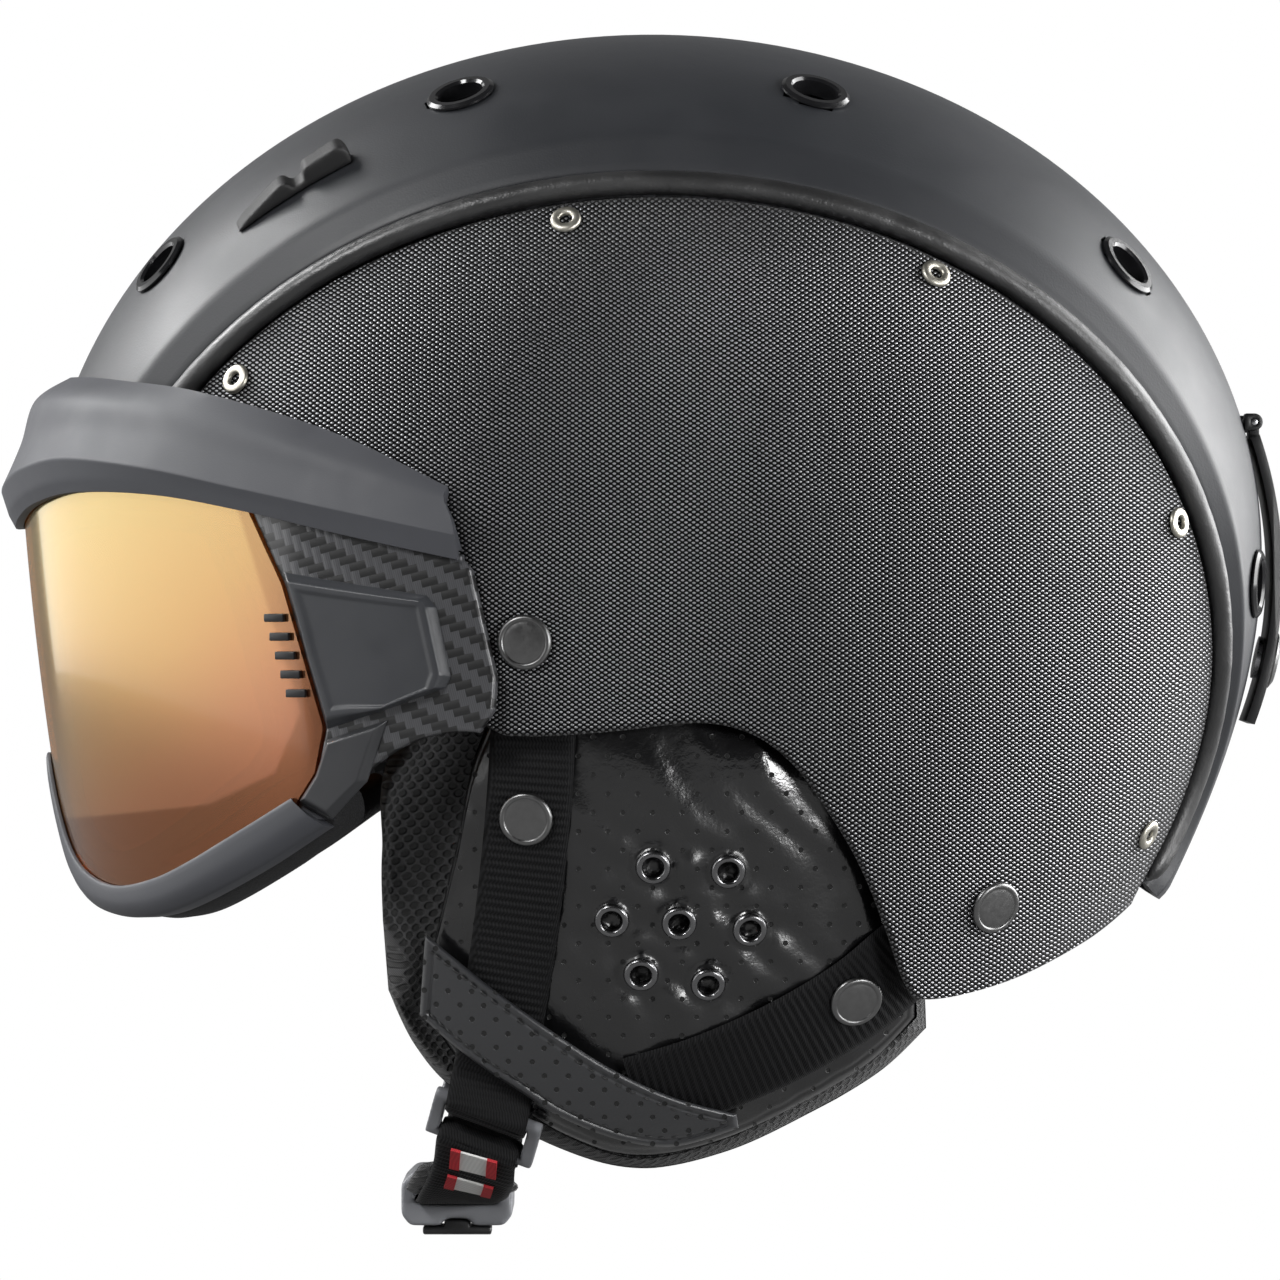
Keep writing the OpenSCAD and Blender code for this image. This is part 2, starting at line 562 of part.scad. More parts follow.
module holder_hinge_pin() {
    color("#9a9b9e") translate([hinge_place[0], holder_w / 2, hinge_place[1]]) rotate([90, 0, 0])
        cylinder(h = holder_w, d = hinge_pin_d);
}
module holder_hinge_base() {
    eye_d = hinge_pin_d + 2.4;
    foot = hinge_place[0] - section_len(hinge_place[1], 0);
    lug = holder_w / 5 - gap;
    color("#1c1c1e") {
        for (s = [-1, 1]) translate([hinge_place[0], s * (holder_w / 2 - lug / 2) + lug / 2, hinge_place[1]])
            rotate([90, 0, 0]) difference() {
                union() {
                    cylinder(h = lug, d = eye_d);
                    translate([-foot, -eye_d / 2, 0]) cube([foot, eye_d, lug]);
                }
                translate([0, 0, -1]) cylinder(h = lug + 2, d = hinge_pin_d);
            }
    }
}
module holder_band() {
    eye_d = hinge_pin_d + 2.2;
    lug = holder_w * 3 / 5 - 2 * gap;
    color("#18181a") difference() {
        union() {
            translate([holder_mid[0], 0, holder_mid[1]]) rotate([90, 0, 0])
                rotate([0, 0, -holder_angle - 2])
                    rotate_extrude(angle = 2 * holder_angle + 2) translate([holder_r - holder_t, 0])
                        translate([0, -holder_w / 2]) square([holder_t, holder_w]);
            translate([hinge_place[0], lug / 2, hinge_place[1]]) rotate([90, 0, 0])
                cylinder(h = lug, d = eye_d);
            translate([hinge_place[0] - 0.6, -lug / 2, hinge_place[1] - 4]) cube([holder_t, lug, 4]);
        }
        for (s = [-1, 1])
            translate([hinge_place[0] - 4, s * (holder_w / 2 - lug / 6) - lug / 3, hinge_place[1] - 2.8])
                cube([8, lug * 2 / 3, 8]);
        translate([hinge_place[0], holder_w, hinge_place[1]]) rotate([90, 0, 0])
            cylinder(h = 2 * holder_w, d = hinge_pin_d + gap);
        snap_place() translate([0, 0, -8]) cylinder(h = 16, d = 4 + 2 * gap);
    }
}
snap_angle = -holder_angle + 7;
module snap_place() {
    translate([holder_mid[0] + (holder_r - holder_t) * cos(snap_angle), 0,
        holder_mid[1] + (holder_r - holder_t) * sin(snap_angle)]) rotate([0, 90 - snap_angle, 0]) children();
}
module holder_snap_stud() {
    foot = -1.4;
    color("#77787b") snap_place() rotate_extrude() polygon([[0, foot], [5, foot], [5, -gap], [1.6, -gap],
        [1.6, holder_t * 0.6], [0, holder_t * 0.6]]);
}
module holder_snap_cap() {
    cap_r = 6.5;
    barrel_r = 2.1;
    color("#2a2a2c") snap_place() rotate_extrude() polygon([
        [barrel_r - 0.2, 0.2], [barrel_r, 0.2], [barrel_r, holder_t + 0.05], [cap_r, holder_t + 0.05],
        [cap_r, holder_t + 0.8], [cap_r - 1.5, holder_t + 1.6], [0, holder_t + 1.8], [0, holder_t + 0.4],
        [barrel_r - 0.2, holder_t + 0.4]]);
}

// Ear pads and straps

// Padded grid between a lower and an upper edge, thinner towards its rim
module pad(low, high, cols, rows, out, rim, depth) {
    function spot(k, r) = scaled(mix(curve(low, k / cols), curve(high, k / cols), r / rows));
    function round_off(k, r) = pow(abs(2 * k / cols - 1), 8) + pow(abs(2 * r / rows - 1), 8);
    wall([for (k = [0:cols]) [for (r = [0:rows]) let (p = spot(k, r))
            on_ear(p, out(p) - rim * min(1, round_off(k, r)))]],
        [for (k = [0:cols]) [for (r = [0:rows]) let (p = spot(k, r))
            on_ear(p, depth(p) + rim * min(1, round_off(k, r)))]]);
}
pad_back = panel_in - 8.6;
module ear_pad() {
    color("#141415") pad(pad_low, pad_high, 18, 12, function(p) pad_layer(p), 1.4, function(p) pad_back);
}
module ear_pad_left() { ear_pad(); }
module ear_pad_right() { mirror([0, 1, 0]) ear_pad(); }
module ear_lining() {
    color("#1a1b1c") pad(lining_low, lining_high, 13, 9, function(p) pad_back - gap, 2,
        function(p) pad_back - ear_lining_t);
}
module ear_lining_left() { ear_lining(); }
module ear_lining_right() { mirror([0, 1, 0]) ear_lining(); }

module eyelet() {
    color("#5b5c5f") rotate_extrude() polygon([
        [eyelet_hole_d / 2, 0.1], [eyelet_d / 2, 0.1], [eyelet_d / 2, 0.5],
        [eyelet_d / 2 - 0.8, 1.1], [eyelet_hole_d / 2 + 0.4, 1.1], [eyelet_hole_d / 2, 0.7]]);
}
module ear_eyelets() {
    both_sides() for (e = eyelets) seat_on_ear(scaled(e), pad_layer(scaled(e))) eyelet();
}

// Layer above the ear pad for what lies on it, tucked under the panel's edge
function over_pad(p, lift) = let (tucked = p[1] > -44 * kz || p[0] > 56 * kx)
    min(pad_layer(p) + lift, tucked ? panel_in - 2 * gap : 0);

// Webbing on the ear pad along a line in side view
module pad_strap(line, lift, steps) {
    function mid(k) = scaled(curve(line, k / steps));
    function across(k) = let (d = unit(mid(min(k + 1, steps)) - mid(max(k - 1, 0))))
        [-d[1], d[0]];
    function row(k, t) = [for (s = [1, 0, -1]) let (p = mid(k) + across(k) * s * strap_w / 2)
        on_ear(p, over_pad(p, lift + strap_t) - (strap_t - t))];
    wall([for (k = [0:steps]) row(k, strap_t)], [for (k = [0:steps]) row(k, 0)]);
}
strap_lift = 0.4;
module front_strap() { color("#121213") pad_strap(front_strap_line, strap_lift, 12); }
module rear_strap() { color("#121213") pad_strap(rear_strap_line, strap_lift, 12); }
module front_strap_left() { front_strap(); }
module front_strap_right() { mirror([0, 1, 0]) front_strap(); }
module rear_strap_left() { rear_strap(); }
module rear_strap_right() { mirror([0, 1, 0]) rear_strap(); }

module cross_band() {
    cols = 12;
    rows = 4;
    lift = strap_lift + strap_t + 3 * gap;
    function spot(k, r) = scaled(mix(curve(band_low, k / cols), curve(band_high, k / cols), r / rows));
    function face(t) = [for (k = [0:cols]) [for (r = [0:rows]) let (p = spot(k, r))
        on_ear(p, pad_layer(p) + t)]];
    color("#1c1c1e") wall(face(lift + cross_t), face(lift));
}
module cross_band_left() { cross_band(); }
module cross_band_right() { mirror([0, 1, 0]) cross_band(); }

module strap_snap_caps() {
    both_sides() for (e = snap_places)
        seat_on_ear(scaled(e), over_pad(scaled(e), strap_lift + strap_t)) snap_cap(cap_d);
}

// Chin strap and buckle

buckle_c = [-45.5 * kx, 0, -150.5 * kz];
// Loop that joins the ear webbing to the chin strap, at the ear pad's lower edge:
// the places of its two cross bars in side view, their thickness and stand-off from the pad
loop_top = [-37 * kx, -127 * kz];
loop_low = [-39.3 * kx, -135 * kz];
loop_bar_t = 3;
loop_layer = pad_layer(loop_top) + 3.2;
upper_bar = on_ear(loop_top, loop_layer);
lower_bar = on_ear(loop_low, loop_layer);
loop_dir = unit(lower_bar - upper_bar);
loop_side = unit(cross(loop_dir, ear_normal((loop_top + loop_low) / 2, loop_layer)));
loop_out = cross(loop_side, loop_dir);
// Chin strap from the loop to the buckle
chin_line = [[-40.7, -54, -141.4], [-42.2, -44, -145.8], [-44.2, -33, -148.9], [-45.3, -23, -150.5],
    [-45.5, -15, -150.9], [-45.5, -9.5, -150.9]];
function chin_spot(p) = [p[0] * kx, p[1] * ky, p[2] * kz];
// Webbing folded round a bar: along its inner side, round it and back out along direction d
fold_r = loop_bar_t / sqrt(2) + gap + strap_t / 2;
function fold(c, d, n, leg) = concat([c - n * fold_r + d * leg, c - n * fold_r],
    [for (a = [-45:45:45]) c + fold_r * (n * sin(a) - d * cos(a))], [c + n * fold_r]);

// Webbing of even width along a list of points, its width along the given directions
module webbing(pts, sides) {
    bar(flat_rings(pts, sides, strap_w, strap_t));
}
function chin_run(last, steps) = [for (k = [0:steps]) chin_spot(curve(chin_line, last * k / steps))];
// Direction across the strap at a share f of its run: from the loop's bar to straight across
function chin_side(f) = unit(mix(loop_side, [-1, 0, 0], min(1, 1.6 * f + 0.16)));
module chin_strap(last) {
    steps = 10;
    folded = fold(lower_bar, loop_dir, loop_out, 6);
    run = chin_run(last, steps);
    color("#121213") webbing(concat(folded, run), concat([for (p = folded) loop_side],
        [for (k = [0:steps]) chin_side(last * k / steps)]));
}
module chin_strap_left() { chin_strap(1); }
// The right strap ends in the tongue, before the housing
right_end = 0.74;
module chin_strap_right() { mirror([0, 1, 0]) chin_strap(right_end); }

// Short webbing from under the cross band to the loop's upper bar
module loop_tab() {
    top = [-35.2 * kx, -113.5 * kz];
    edge = [-36.2 * kx, -120.6 * kz];
    lift = strap_t / 2 + 0.4;
    function lying(p) = on_ear(p, pad_layer(p) + lift);
    function across(p) = unit(lying(p + [1, -0.55]) - lying(p - [1, -0.55]));
    past = upper_bar + loop_out * fold_r - loop_dir * 1.8;
    folded = concat(fold(upper_bar, -loop_dir, loop_out, 1.5), [past]);
    color("#121213") webbing(concat(folded, [lying(edge), lying(top)]),
        concat([for (p = folded) -loop_side], [-across(edge), -across(top)]));
}
module loop_tab_left() { loop_tab(); }
module loop_tab_right() { mirror([0, 1, 0]) loop_tab(); }

module divider_loop() {
    long = norm(lower_bar - upper_bar) + loop_bar_t;
    wide = strap_w + 2 * loop_bar_t + 2 * gap;
    c = (upper_bar + lower_bar) / 2;
    color("#2d2e30") multmatrix([for (k = [0:2]) [loop_side[k], loop_dir[k], -loop_out[k], c[k]]])
        for (s = [-1, 1]) {
            translate([-wide / 2, s * (long - loop_bar_t) / 2, 0]) rotate([0, 90, 0])
                cylinder(d = loop_bar_t, h = wide, $fn = 32);
            translate([s * (wide - loop_bar_t) / 2 - loop_bar_t / 2, (loop_bar_t - long) / 2, -loop_bar_t / 2])
                cube([loop_bar_t, long - loop_bar_t, loop_bar_t]);
        }
}
module divider_loop_left() { divider_loop(); }
module divider_loop_right() { mirror([0, 1, 0]) divider_loop(); }

// Mesh pad on the inner side of the left strap
module chin_pad() {
    steps = 12;
    half_t = 1.9;
    pts = [for (k = [0:steps]) chin_spot(curve(chin_line, mix(0.13, 0.72, k / steps)))];
    color("#151617") bar([for (k = [0:steps]) let (
        d = unit(pts[min(k + 1, steps)] - pts[max(k - 1, 0)]),
        n = unit(cross(d, chin_side(mix(0.13, 0.72, k / steps)))),
        s = cross(d, n),
        e = 1 - 0.35 * pow(abs(2 * k / steps - 1), 4),
        c = pts[k] + n * (strap_t / 2 + gap + half_t))
        [for (j = [0:9]) c - s * (strap_w / 2 + 2.5) * e * cos(j * 36) + n * half_t * e * sin(j * 36)]]);
}
// Two sewn labels on the outer side of the left strap
module strap_labels() {
    steps = 4;
    label_w = 10.5;
    label_t = 0.5;
    color("#e9e9e6") for (f = [0.06, 0.5]) let (
        pts = [for (k = [-1:steps + 1]) chin_spot(curve(chin_line, f + 0.15 * k / steps))],
        mids = [for (k = [1:steps + 1]) let (d = unit(pts[k + 1] - pts[k - 1]))
            pts[k] - unit(cross(d, chin_side(f + 0.15 * (k - 1) / steps))) * (strap_t / 2 + 1.4 * label_t)])
        bar(flat_rings(mids, [for (k = [0:steps]) -chin_side(f + 0.15 * k / steps)], label_w, label_t));
}

slot_w = buckle_w - 6;
guide_w = 6;
module buckle_housing() {
    a = buckle_w / 2;
    b = buckle_h / 2;
    lead = 8;
    color("#2f3032") translate(buckle_c) difference() {
        rotate([90, 0, 0]) linear_extrude(height = buckle_l, center = true)
            polygon([[-a + 2, -b], [a - 2, -b], [a, -b + 2.5], [a, b - 3], [a - 3, b], [-a + 3, b],
                [-a, b - 3], [-a, -b + 2.5]]);
        translate([-a - 1, -2, -b - 1]) cube([a + 1 + slot_w / 2, buckle_l, 6.4]);
        translate([-strap_w / 2 - gap, -buckle_l / 2 - 1, -1.6])
            cube([strap_w + 2 * gap, lead, 2.2 + strap_t]);
        translate([-guide_w / 2 - gap, -buckle_l / 2 - 1, -b - 1]) cube([guide_w + 2 * gap, 13, 2.6]);
    }
}
// Tongue in the housing, with the bar that the right strap is sewn into
module buckle_tongue() {
    base = -buckle_h / 2;
    grip_w = strap_w + 3.6;
    color("#1b1b1d") translate(buckle_c) difference() {
        union() {
            translate([-slot_w / 2 + gap, -2 + gap, base + 0.4])
                cube([slot_w - 2 * gap, buckle_l / 2 + 3, 4.4]);
            translate([-grip_w / 2, buckle_l / 2 + gap, base + 0.4]) cube([grip_w, 8.5, 9.6]);
        }
        translate([-strap_w / 2 - 2 * gap, buckle_l / 2 + 1.8, -1.6])
            cube([strap_w + 4 * gap, 9, 2.8 + strap_t]);
    }
}
// Release slide under the housing, guided by its rib
module buckle_release_tab() {
    reach_y = -buckle_l / 2 + 2;
    color("#101011") translate(buckle_c) translate([0, 0, -buckle_h / 2]) {
        translate([-8, reach_y, -2.3]) rotate([90, 0, 90]) linear_extrude(height = 16)
            polygon([[0, 0.4], [2, 0], [9, 0], [11, 1], [11, 2], [0, 2]]);
        translate([-guide_w / 2, reach_y, -0.4]) cube([guide_w, 9, 1.6]);
    }
}

// Fit system

dial_c = [97 * kx, 0, -71 * kz];
axle_d = 8;
// Strap round the back of the head, with the round housing that carries the dial
module fit_cradle() {
    steps = 14;
    t = 2.2;
    h = 10;
    housing_d = dial_d - 4;
    face = lining_in - 2.5 * gap;
    function strip(a) = let (z = -66 * kz) [on_section(a, z - h, face), on_section(a, z - h, face - t),
        on_section(a, z + h, face - t), on_section(a, z + h, face)];
    color("#28292b") {
        bar([for (k = [0:steps]) strip(mix(117, 243, k / steps))]);
        translate(dial_c - [11, 0, 0]) rotate([0, 90, 0]) cylinder(h = 11 - gap, d = housing_d);
    }
}
module fit_dial_axle() {
    color("#333437") translate(dial_c - [gap, 0, 0]) rotate([0, 90, 0])
        cylinder(h = gap + dial_h * 0.7, d = axle_d);
}
module fit_dial() {
    rib_d = 2;
    wall_d = dial_d - 1.6;
    color("#1e1f21") translate(dial_c) rotate([0, 90, 0]) difference() {
        union() {
            cylinder(h = dial_h, d = wall_d);
            for (k = [0:dial_ribs - 1]) rotate([0, 0, k * 360 / dial_ribs])
                translate([dial_d / 2 - rib_d / 2, 0, 0]) cylinder(h = dial_h - 1, d = rib_d, $fn = 24);
        }
        translate([0, 0, -1]) cylinder(h = dial_h * 0.75 + 1, d = axle_d + 2 * gap);
        translate([0, 0, dial_h - 1]) cylinder(h = 2, d = dial_d - 8);
    }
}

// Visor

visor_cols = 18;
// Point at column k of a visor line that runs on, mirrored, past the middle plane
function whole(line) = concat([for (i = [len(line) - 1:-1:1]) [-line[i][0], line[i][1]]], line);
function line_at(line, k, n) = let (p = curve(whole(line), 0.5 + 0.5 * k / n)) [p[0], p[1] * kz];
// Layer of the brow's upper rim: over the crown in front, down to the panels at the sides
rim_layers = [[0, 0.5], [44, 0.5], [57, gap - panel_drop], [90, gap - panel_drop]];
function brow_head_layer(a) = lookup(abs(a), rim_layers);

// The brow's lower edge is rebated: it lies over the lens and the side plates
module visor_brow() {
    n = visor_cols;
    lines = [brow_low, brow_crease, brow_mid, brow_shoulder];
    function stand(r, k) = mix(brow_out[r][0], brow_out[r][1], abs(k) / n);
    function spot(r, k, rise, t) = let (p = line_at(lines[r], k, n)) on_visor(p[0], p[1] + rise, t);
    function top(k, drop, t) = let (p = line_at(brow_top, k, n))
        on_section(p[0], p[1] - drop, brow_head_layer(p[0]) + t);
    rebate = lens_lap + gap;
    function rise(k, f) = spot(0, k, 2.8 * f * rebate, mix(stand(0, k), stand(1, k), f));
    function outer(k) = [spot(0, k, 0, stand(0, k)), rise(k, 0.25), rise(k, 0.5), spot(1, k, 0, stand(1, k)),
        spot(2, k, 0, stand(2, k)), spot(3, k, 0, stand(3, k)), top(k, 0, 1.2)];
    function inner(k) = [spot(0, k, 0, gap), spot(0, k, rebate, gap), spot(0, k, rebate, -visor_t),
        spot(1, k, 0, stand(1, k) - 1.2 * visor_t), spot(2, k, -0.6, stand(2, k) - visor_t),
        spot(3, k, -1.6, stand(3, k) - 0.8 * visor_t), top(k, 1.4, 0)];
    color("#3a3b3e") wall([for (k = [-n:n]) outer(k)], [for (k = [-n:n]) inner(k)]);
}

// Side plate between the lens and the rear edge; its front edge is rebated and carries the lens
module visor_side_plate() {
    cols = 10;
    rows = 10;
    seam = 0.25;
    shelf = -lens_t - gap;
    back = shelf - 1.8;
    sag = 6;
    function front(v) = let (z = mix(-60.4, lookup(lens_side[5][1], brow_low) + lens_lap, v))
        [lookup(z, lens_side) + seam + (z < -57 ? (-57 - z) * 0.9 : 0), z];
    function rear(v) = let (z = mix(plate_rear[0][0], lookup(plate_rear[4][1], brow_low) + 1, v))
        [lookup(z, plate_rear), z];
    function spot(f, r) = let (v = r / rows, p = mix(front(v), rear(v), f))
        [p[0], (p[1] + (1 - v) * sag * 4 * f * (1 - f)) * kz];
    function row(f, t, shift) = [for (r = [0:rows]) let (p = spot(f, r)) on_visor(p[0] - shift, p[1], t)];
    color("#26272a") difference() {
        wall(concat([for (k = [cols:-1:0]) row(k / cols, 0, 0)], [row(0, shelf, 0), row(0, shelf, 1.6)]),
            concat([for (k = [cols:-1:1]) row(k / cols, -visor_t, 0)],
                [row(0.02, back, 0), row(0, back, 0.2), row(0, back, 1.5)]));
        seat_on_visor(magnet_angle, magnet_place[1] * kz, -visor_t)
            translate([0, 0, -3]) cylinder(h = 3 + magnet_t + gap, d = magnet_d + 2 * gap);
    }
}
magnet_angle = acos(-magnet_place[0] * kx / visor_len(magnet_place[1] * kz));
module visor_side_plate_left() { visor_side_plate(); }
module visor_side_plate_right() { mirror([0, 1, 0]) visor_side_plate(); }

// Raised plate on the side between two edges, with a chamfer all round
function along(line, f) = let (u = f * (len(line) - 1), i = min(floor(u), len(line) - 2))
    mix(line[i], line[i + 1], u - i);
module raised_patch(front, rear, rise) {
    shares = [0, 0.08, 0.3, 0.5, 0.7, 0.92, 1];
    last = len(shares) - 1;
    function spot(k, r) = mix(along(front, shares[r]), along(rear, shares[r]), shares[k]);
    function edge(k) = k == 0 || k == last;
    function face(t, t_edge) = [for (k = [last:-1:0]) [for (r = [0:last]) let (p = spot(k, r))
        on_visor(p[0], p[1] * kz, edge(k) || edge(r) ? t_edge : t)]];
    wall(face(rise, rise * 0.55), face(0.1, 0.1));
}
module visor_boss() { color("#333437") raised_patch(boss_front, boss_rear, boss_h); }
module visor_boss_left() { visor_boss(); }
module visor_boss_right() { mirror([0, 1, 0]) visor_boss(); }
module visor_arm() { color("#303134") raised_patch(arm_front, arm_rear, 2.2); }
module visor_arm_left() { visor_arm(); }
module visor_arm_right() { mirror([0, 1, 0]) visor_arm(); }

// Lens between the lower frame and the brow, inset from its own edge
module lens_grid(cols, rows, t, wall_t, inset) {
    last = lens_side[0][1];
    function spot(k, r) = let (
        f = abs(k) / cols,
        low = lookup(f * last, lens_low) * kz + inset * 6,
        high = lookup(f * lens_side[5][1], brow_low) * kz + lens_lap - 0.8 - inset * 6.2,
        z = mix(low, high, r / rows),
        a = f * (lens_edge(z) - inset * 6.2))
        [k < 0 ? -a : a, z];
    function face(t) = [for (k = [-cols:cols]) [for (r = [0:rows]) let (p = spot(k, r))
        on_visor(p[0], p[1], t)]];
    wall(face(t), face(t - wall_t));
}
module outer_lens() {
    color([0.95, 0.6, 0.25, 0.75]) lens_grid(16, 7, 0, lens_t, 0);
}
module inner_lens() {
    color([0.8, 0.8, 0.8, 0.4]) lens_grid(10, 4, -lens_t - lens_air, inner_lens_t, 1);
}

frame_back = -lens_t - 2.6;
module visor_lower_frame() {
    n = 20;
    function low(k) = line_at(rim_low, k, n);
    function high(k, lap) = let (p = line_at(lens_low, k, n)) [p[0], p[1] + lap];
    function at(p, t) = on_visor(p[0], p[1], t);
    function outer(k) = [at(low(k), 0.2), at(mix(low(k), high(k, lens_lap), 0.4), 1.6),
        at(mix(low(k), high(k, lens_lap), 0.8), 1.5), at(high(k, lens_lap), 1.2)];
    function inner(k) = [at(low(k), frame_back), at(high(k, -0.5), frame_back), at(high(k, -0.5), gap),
        at(high(k, lens_lap), gap)];
    color("#343538") wall([for (k = [-n:n]) outer(k)], [for (k = [-n:n]) inner(k)]);
}

// Foam seal round the air space between the two lenses
module lens_spacer() {
    n = 12;
    play = 0.15;
    depth = lens_air - 2 * play;
    t0 = -lens_t - play;
    seal_w = 4;
    side_w = 1.7;
    top_a = lens_side[5][1] - 6;
    function low(k) = let (p = line_at(lens_low, k, n)) [[p[0] * 0.9, p[1] + 5], [0, seal_w]];
    function high(k) = let (a = top_a * k / n) [[a, lookup(abs(a), brow_low) * kz - 3.5], [0, -seal_w]];
    function side(s, z) = [[s * (lens_edge(z * kz) - 5.4), z * kz], [-s * side_w, 0]];
    levels = [-44, -26, -10];
    path = concat([for (k = [-n:n]) low(k)], [for (z = levels) side(1, z)],
        [for (k = [n:-1:-n]) high(k)], [for (z = [levels[2], levels[1], levels[0]]) side(-1, z)]);
    function ring_at(q) = let (a = q[0], b = q[0] + q[1])
        [on_visor(a[0], a[1], t0), on_visor(a[0], a[1], t0 - depth),
        on_visor(b[0], b[1], t0 - depth), on_visor(b[0], b[1], t0)];
    color("#151516") loop_bar([for (q = path) ring_at(q)]);
}
module visor_vent_comb() {
    color("#141415") both_sides() for (k = [0:4]) let (z = (-15.5 - 4.2 * k) * kz, a = lens_edge(z) - 1.6)
        seat_along_visor(a, z, 0.1) translate([-2.5, -0.9, 0]) cube([5, 1.8, 1.3]);
}

// Face foam round the eye opening
module visor_foam() {
    n = 16;
    t0 = frame_back - gap;
    function low(k) = let (p = line_at(rim_low, k, n)) [p[0], p[1] + 4.2 * kz];
    section = [[-3, 0], [-4.5, -6], [-2, -12], [3, -12], [4.5, -6], [3, 0]];
    function strip(k) = let (p = low(k)) [for (q = section) on_visor(p[0], p[1] + q[0], t0 + q[1])];
    color("#191a1b") bar([for (k = [-n:n]) strip(k)]);
}
module visor_magnets() {
    color("#8c8d90") both_sides() seat_on_visor(magnet_angle, magnet_place[1] * kz, -visor_t)
        cylinder(h = magnet_t, d = magnet_d);
}

crown_shell();
side_panel_left();
side_panel_right();
panel_piping_left();
panel_piping_right();
energy_foam();
comfort_lining();
neck_pad();
vent_rings();
panel_rivets();
strap_anchor_caps();
park_rest_left();
park_rest_right();
helmet_magnets();
holder_hinge_base();
holder_hinge_pin();
holder_band();
holder_snap_stud();
holder_snap_cap();
ear_pad_left();
ear_pad_right();
ear_lining_left();
ear_lining_right();
ear_eyelets();
cross_band_left();
cross_band_right();
front_strap_left();
front_strap_right();
rear_strap_left();
rear_strap_right();
strap_snap_caps();
loop_tab_left();
loop_tab_right();
divider_loop_left();
divider_loop_right();
chin_strap_left();
chin_strap_right();
chin_pad();
strap_labels();
buckle_housing();
buckle_tongue();
buckle_release_tab();
fit_cradle();
fit_dial();
fit_dial_axle();
visor_brow();
visor_side_plate_left();
visor_side_plate_right();
visor_boss_left();
visor_boss_right();
visor_lower_frame();
visor_arm_left();
visor_arm_right();
outer_lens();
inner_lens();
lens_spacer();
visor_vent_comb();
visor_foam();
visor_magnets();
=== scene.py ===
"""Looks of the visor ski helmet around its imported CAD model. Lengths in the shape code are millimetres."""

import json
import math

import bmesh
import bpy
import numpy as np
from mathutils import Matrix, Vector

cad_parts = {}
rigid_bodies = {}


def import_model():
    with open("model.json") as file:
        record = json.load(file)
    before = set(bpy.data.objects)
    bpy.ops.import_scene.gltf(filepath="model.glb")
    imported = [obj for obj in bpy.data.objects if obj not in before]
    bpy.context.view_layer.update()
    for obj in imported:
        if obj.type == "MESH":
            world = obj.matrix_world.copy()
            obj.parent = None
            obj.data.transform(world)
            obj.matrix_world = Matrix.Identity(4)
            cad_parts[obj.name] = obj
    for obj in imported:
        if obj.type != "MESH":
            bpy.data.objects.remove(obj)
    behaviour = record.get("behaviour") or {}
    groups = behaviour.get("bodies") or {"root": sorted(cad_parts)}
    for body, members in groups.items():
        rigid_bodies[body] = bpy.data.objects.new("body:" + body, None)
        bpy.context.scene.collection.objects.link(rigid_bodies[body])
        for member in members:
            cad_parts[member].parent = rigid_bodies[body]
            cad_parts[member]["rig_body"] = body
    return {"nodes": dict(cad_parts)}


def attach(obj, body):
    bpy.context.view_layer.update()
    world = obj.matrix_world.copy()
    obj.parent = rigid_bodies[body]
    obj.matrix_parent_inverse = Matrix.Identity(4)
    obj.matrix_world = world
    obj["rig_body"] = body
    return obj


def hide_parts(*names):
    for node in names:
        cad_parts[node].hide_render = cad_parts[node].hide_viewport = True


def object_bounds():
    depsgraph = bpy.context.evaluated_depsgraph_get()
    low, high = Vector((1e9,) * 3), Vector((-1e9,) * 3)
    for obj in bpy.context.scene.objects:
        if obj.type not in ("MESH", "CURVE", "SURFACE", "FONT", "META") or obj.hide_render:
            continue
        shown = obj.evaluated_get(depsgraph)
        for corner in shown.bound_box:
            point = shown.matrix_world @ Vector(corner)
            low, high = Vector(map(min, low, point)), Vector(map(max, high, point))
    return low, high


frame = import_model()
nodes = frame["nodes"]
cad_box = [list(v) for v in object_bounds()]
MM, WELD = 0.001, 1e-6
FAR = 99  # from an edge: beyond the reach of every rolled edge and seam
HOLE_SHADE = (0.0005, 0.0005, 0.0005)  # painted shade: near-black colour of the open holes in the leather and mesh, for the shade inside them

# Head form: the same named sizes as in the CAD source
HALF_LEN, HALF_W, TOP = 143.0, 114.0, 121.5
SIDE_DEPTH, NAPE_DEPTH, EAR_DEPTH = 228.0, 134.0, 178.0
CROWN_T, PANEL_OUT, PANEL_IN = 3.0, -4.0, -6.0
FOAM_SIDE, FOAM_TOP, FOAM_IN = -6.5, -3.7, -29.5
LINING_OUT, LINING_IN, LINING_HANG = -29.9, -35.4, 3.0
PIPING_D, GAP = 5.6, 0.3
STRAP_W, STRAP_T, STRAP_LIFT, CROSS_T = 19.0, 1.2, 0.4, 1.6
VISOR_T, LENS_T, LENS_AIR, INNER_LENS_T = 2.4, 1.4, 4.5, 0.8
SIDE_LIMIT = 0.975
EDGE_C, EDGE_R = (1.3, -25.0), (128.2, 104.7)
EDGE_FRONT, EDGE_REAR = 157.5, -28.0
BEVEL_W = [(0, 8), (0.35, 9.4), (0.62, 7.5), (0.72, 5.5), (0.84, 3), (1, 2.6)]

